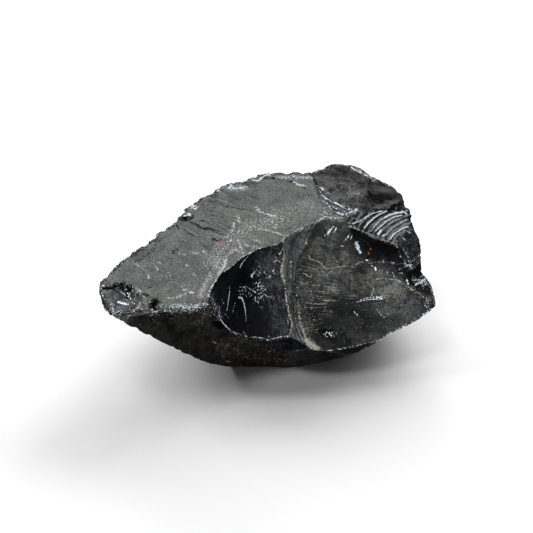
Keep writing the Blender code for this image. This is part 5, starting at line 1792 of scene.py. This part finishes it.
    def select(self, wanted: np.ndarray, faces: bool) -> None:
        """Selects these faces alone, or these points."""
        select_only(self.piece)
        bpy.context.tool_settings.mesh_select_mode = (not faces, False, faces)
        bpy.ops.object.mode_set(mode="EDIT")
        bpy.ops.mesh.select_all(action="DESELECT")
        bpy.ops.object.mode_set(mode="OBJECT")
        items = self.mesh.polygons if faces else self.mesh.vertices
        items.foreach_set("select", wanted)

    def divide(self, wanted: np.ndarray) -> None:
        """Divides these faces in four, and splits their neighbours to match."""
        self.select(wanted, faces=True)
        bpy.ops.object.mode_set(mode="EDIT")
        bpy.ops.mesh.subdivide(number_cuts=1)
        bpy.ops.mesh.select_all(action="SELECT")
        bpy.ops.mesh.quads_convert_to_tris()
        bpy.ops.object.mode_set(mode="OBJECT")

    def smooth_ridges(self) -> None:
        """Draws each point of a ridge towards its two neighbours along it."""
        points = self.points()
        near: dict[int, list[int]] = {}
        for edge in self.mesh.edges:
            if edge.use_seam:
                first, second = edge.vertices
                near.setdefault(first, []).append(second)
                near.setdefault(second, []).append(first)
        moved = points.copy()
        for index, ends in near.items():
            if len(ends) == 2:
                middle = 0.5 * (points[ends[0]] + points[ends[1]])
                moved[index] += self.ridge_pull * (middle - points[index])
        low = points[:, 2] < self.rest_height
        moved[low] = points[low]
        self.put_points(moved)

    def smooth_facets(self) -> None:
        """Smooths each facet between its ridges."""
        fixed = self.on_ridges()
        for facet, inner in zip(FACETS.values(), self.facet_points()):
            if facet.smooth:
                self.select(inner & ~fixed, faces=False)
                bpy.ops.object.mode_set(mode="EDIT")
                bpy.ops.mesh.vertices_smooth(factor=0.5, repeat=facet.smooth)
                bpy.ops.object.mode_set(mode="OBJECT")

    # relief

    def carve(self) -> None:
        """Gives each facet its relief, carves the pits and grooves and chips the ridges."""
        points = self.points()
        normals = self.vectors(self.mesh.vertices, "normal")
        fixed = self.on_ridges()
        fade = np.clip(self.rim_distance / self.rim_fade, 0, 1)
        rise = np.zeros(len(points))
        self.facet_of_point = np.zeros(len(points), int)
        for number, (facet, held) in enumerate(zip(FACETS.values(), self.facet_points())):
            self.facet_of_point[held] = number
            inner = held & ~fixed
            for part in facet.relief:
                rise[inner] += fade[inner] * part.rise(points[inner])
        for pit in PITS:
            rise += pit.rise(points) * fade
        for stroke in STROKES:
            if stroke.depth:
                rise -= stroke.depth * stroke.share(points) * fade
        rise -= self.chips(points)
        off_floor = np.clip(points[:, 2] / self.floor_fade, 0, 1)
        self.put_points(points + (rise * off_floor)[:, None] * normals)

    def chips(self, points: np.ndarray) -> np.ndarray:
        """How deep the crumbled ridges are chipped at each point, which is less the lower it is."""
        even, uneven = self.chip_share
        near = self.rim_distance < 3 * self.chip_reach
        bites = np.zeros(len(points))
        bites[near] = np.clip(even + uneven * fractal(points[near], self.chip_size), 0, 1)
        sharp = np.clip(self.blunt_share + points[:, 2] / self.sharp_height, 0, 1)
        return self.chip_depth * sharp * bites * faded(self.rim_distance, self.chip_reach)

    # looks

    def lay_flow(self) -> None:
        """Lays the `flow` map, which runs across and along the lines that each break left."""
        points = self.points()
        numbers = self.facet_numbers()
        flow = np.zeros((len(self.mesh.loops), 2))
        corner_points = np.empty(len(self.mesh.loops), np.int32)
        self.mesh.loops.foreach_get("vertex_index", corner_points)
        corner_facets = np.repeat(numbers, 3)
        for number, facet in enumerate(FACETS.values()):
            here = corner_facets == number
            at = points[corner_points[here]]
            if facet.guide:
                tree = tree_of(through(self.net.points(facet.guide), self.flow_spacing))
                found = [tree.find(point) for point in at]
                flow[here] = [(away, index * self.flow_spacing) for _, index, away in found]
                continue
            out = np.zeros(3)
            for polygon in np.array(self.mesh.polygons)[numbers == number][::7]:
                out += polygon.normal
            away = np.linalg.norm(at - facet.source, axis=1)
            flow[here] = np.column_stack([turn_about(at, facet.source, out) * away.mean(), away])
        self.mesh.uv_layers.new(name="flow").data.foreach_set("uv", flow.ravel())

    def lay_marks(self) -> None:
        """Lays the `marks` and `cover` attributes: how much of each is at each point."""
        points = self.points()
        shares = np.zeros((len(points), len(Mark)))
        shares[:, CRISP_MARKS:] = np.array([facet.cover for facet in FACETS.values()])[self.facet_of_point]
        # painted glints on the ripples' crests, from the rings that shine
        for number, facet in enumerate(FACETS.values()):
            clear = (self.facet_of_point == number) & (self.rim_distance > self.shine_margin)
            for part in facet.relief:
                if isinstance(part, Rings) and part.shine:
                    shares[clear, Mark.PAINTED_GLINT.value] = part.glint(points[clear])
        for stroke in STROKES:
            stroke.mark.lay(shares, stroke.strength * stroke.share(points))
        for wear in WEARS:
            away = self.away_from(wear.ridge, points, self.wear_reach)
            wear.mark.lay(shares, wear.strength * faded(away, wear.width))
        for name, channels in (("marks", shares[:, :CRISP_MARKS]), ("cover", shares[:, CRISP_MARKS:])):
            attribute = self.mesh.attributes.new(name, "FLOAT_COLOR", "POINT")
            attribute.data.foreach_set("color", channels.ravel())

    def dress(self) -> None:
        """Gives each facet its finish, with patches of crushed glass, and shades what is smooth smooth."""
        for finish in FINISHES:
            self.mesh.materials.append(finish.material())
        slots = np.array([FINISHES.index(facet.finish) for facet in FACETS.values()])[self.facet_numbers()]
        middles = self.middles()
        even, uneven = self.patch_share
        for rim in RIMS:
            away = self.away_from(rim.ridge, middles, rim.reach)
            near = np.flatnonzero(away < rim.reach)
            patches = even + uneven * fractal(middles[near], self.patch_size)
            slots[near[away[near] < rim.reach * patches]] = FINISHES.index(CRUSHED)
        self.mesh.polygons.foreach_set("material_index", slots.astype(np.int32))
        select_only(self.piece)
        bpy.ops.object.shade_smooth_by_angle(angle=math.radians(self.smooth_angle))


def tree_of(points: np.ndarray) -> kdtree.KDTree:
    """A tree that finds the nearest of the points."""
    tree = kdtree.KDTree(len(points))
    for index, point in enumerate(points.tolist()):
        tree.insert(point, index)
    tree.balance()
    return tree


# ---------------------------------------------------------------- the studio


@dataclass(frozen=True)
class Lamp:
    """A round softbox: where it hangs in metres, its width, power and colour.

    One without glare doesn't show in what shines.
    """

    name: str
    place: Point
    size: float
    watts: float
    tint: Colour = (1.0, 1.0, 1.0)
    glare: bool = True


@dataclass
class Studio:
    """A pale floor, soft light from above and behind, and the camera."""

    elevation: float = 38.0
    distance: float = 449.3
    aim: Point = (-1.3, 1.21, 20.0)
    lens: float = 85.0
    sensor: float = 36.0
    floor_size: float = 8.0
    floor_lamps: tuple[Lamp, ...] = (
        Lamp("back_right_low", (1.347, 1.213, 0.845), 0.85, 21.0),
        Lamp("back_right", (0.87, 1.507, 0.985), 0.85, 19.5),
        Lamp("back_near_right", (0.457, 1.706, 0.939), 0.85, 10.8),
        Lamp("back", (-0.032, 1.812, 0.845), 0.85, 15.8),
        Lamp("back_low", (-0.498, 1.857, 0.551), 0.85, 26.8),
        Lamp("left", (-1.5, 0.866, 1.0), 0.85, 21.4),
        Lamp("left_high", (-0.692, 0.186, 1.867), 0.85, 6.8),
    )
    stone_lamps: tuple[Lamp, ...] = (
        Lamp("overhead", (0.0, -0.1, 1.0), 2.2, 0.9),
        Lamp("left_box", (-1.1, 0.0, 1.1), 0.7, 23.5),
        Lamp("right_front", (0.9, -0.55, 0.6), 0.5, 3.9, glare=False),
        Lamp("right_strip", (0.75, 1.5, 1.0), 0.5, 2.4),
        Lamp("window", (0.0, 1.9, 0.55), 1.4, 7.3, (0.8, 0.92, 1.0)),
    )

    def build(self, stone: bpy.types.Object) -> None:
        """Builds the studio round the stone."""
        floor = self.lay_floor()
        self.light_world()
        for lamps, lit in ((self.floor_lamps, floor), (self.stone_lamps, stone)):
            for lamp in lamps:
                self.hang(lamp, lit)
        self.set_camera()

    def lay_floor(self) -> bpy.types.Object:
        """Lays the floor."""
        bpy.ops.object.select_all(action="DESELECT")
        bpy.ops.mesh.primitive_plane_add(size=self.floor_size)
        floor = bpy.context.object
        floor.name = "floor"
        material = bpy.data.materials.new("pale_floor")
        material.use_nodes = True
        shader = material.node_tree.nodes["Principled BSDF"]
        shader.inputs["Base Color"].default_value = (0.9, 0.9, 0.9, 1)
        shader.inputs["Roughness"].default_value = 1.0
        shader.inputs["Specular IOR Level"].default_value = 0.0
        floor.data.materials.append(material)
        floor.visible_glossy = False
        return floor

    def light_world(self) -> None:
        """Lights the room: bright overhead and behind, dark low in front."""
        world = bpy.data.worlds.new("studio")
        world.use_nodes = True
        bpy.context.scene.world = world
        tree = world.node_tree
        place = tree.nodes.new("ShaderNodeTexCoord")
        lean = tree.nodes.new("ShaderNodeVectorMath")
        lean.operation = "DOT_PRODUCT"
        lean.inputs[1].default_value = (0.0, 0.35, 0.94)
        ramp = tree.nodes.new("ShaderNodeValToRGB")
        tree.links.new(place.outputs["Generated"], lean.inputs[0])
        tree.links.new(lean.outputs["Value"], ramp.inputs[0])
        stops = ((0.0, 0.02), (0.3, 0.045), (0.7, 0.07), (1.0, 0.09))
        ramp.color_ramp.elements[0].position = stops[0][0]
        ramp.color_ramp.elements[1].position = stops[-1][0]
        for position, _ in stops[1:-1]:
            ramp.color_ramp.elements.new(position)
        for element, (_, value) in zip(ramp.color_ramp.elements, stops):
            element.color = (value, value, value, 1)
        tree.links.new(ramp.outputs[0], tree.nodes["Background"].inputs["Color"])

    def hang(self, lamp: Lamp, lit: bpy.types.Object) -> None:
        """Hangs a softbox that faces the stone and lights one thing alone.

        Args:
            lamp: the softbox.
            lit: what it lights. Everything casts a shadow in it.
        """
        light = bpy.data.lights.new(lamp.name, "AREA")
        light.shape = "DISK"
        light.size = lamp.size
        light.energy = lamp.watts
        light.color = lamp.tint
        hung = bpy.data.objects.new(lamp.name, light)
        hung.location = lamp.place
        hung.rotation_euler = (-Vector(lamp.place)).to_track_quat("-Z", "Y").to_euler()
        hung.visible_glossy = lamp.glare
        bpy.context.scene.collection.objects.link(hung)
        hung.light_linking.receiver_collection = bpy.data.collections.new(lamp.name)
        hung.light_linking.receiver_collection.objects.link(lit)

    def set_camera(self) -> None:
        """Sets up the camera and the look of the picture."""
        tilt = math.radians(self.elevation)
        back = Vector((0, -math.cos(tilt), math.sin(tilt)))
        data = bpy.data.cameras.new("camera")
        data.lens = self.lens
        data.sensor_width = self.sensor
        data.clip_start = 0.01
        camera = bpy.data.objects.new("camera", data)
        camera.location = (Vector(self.aim) + back * self.distance) * MM
        camera.rotation_euler = (math.pi / 2 - tilt, 0, 0)
        bpy.context.scene.collection.objects.link(camera)
        bpy.context.scene.camera = camera
        bpy.context.scene.view_settings.view_transform = "Standard"


def main() -> None:
    """Builds the stone and its studio in order."""
    logging.basicConfig(level=logging.INFO, format="%(message)s")
    stone = Stone().build()
    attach(stone, "root")
    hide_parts("obsidian_chunk")
    logging.info("chunk: %d triangles", len(stone.data.polygons))
    Studio().build(stone)
    logging.info("studio: floor, lights and camera")


if __name__ == "__main__":
    main()
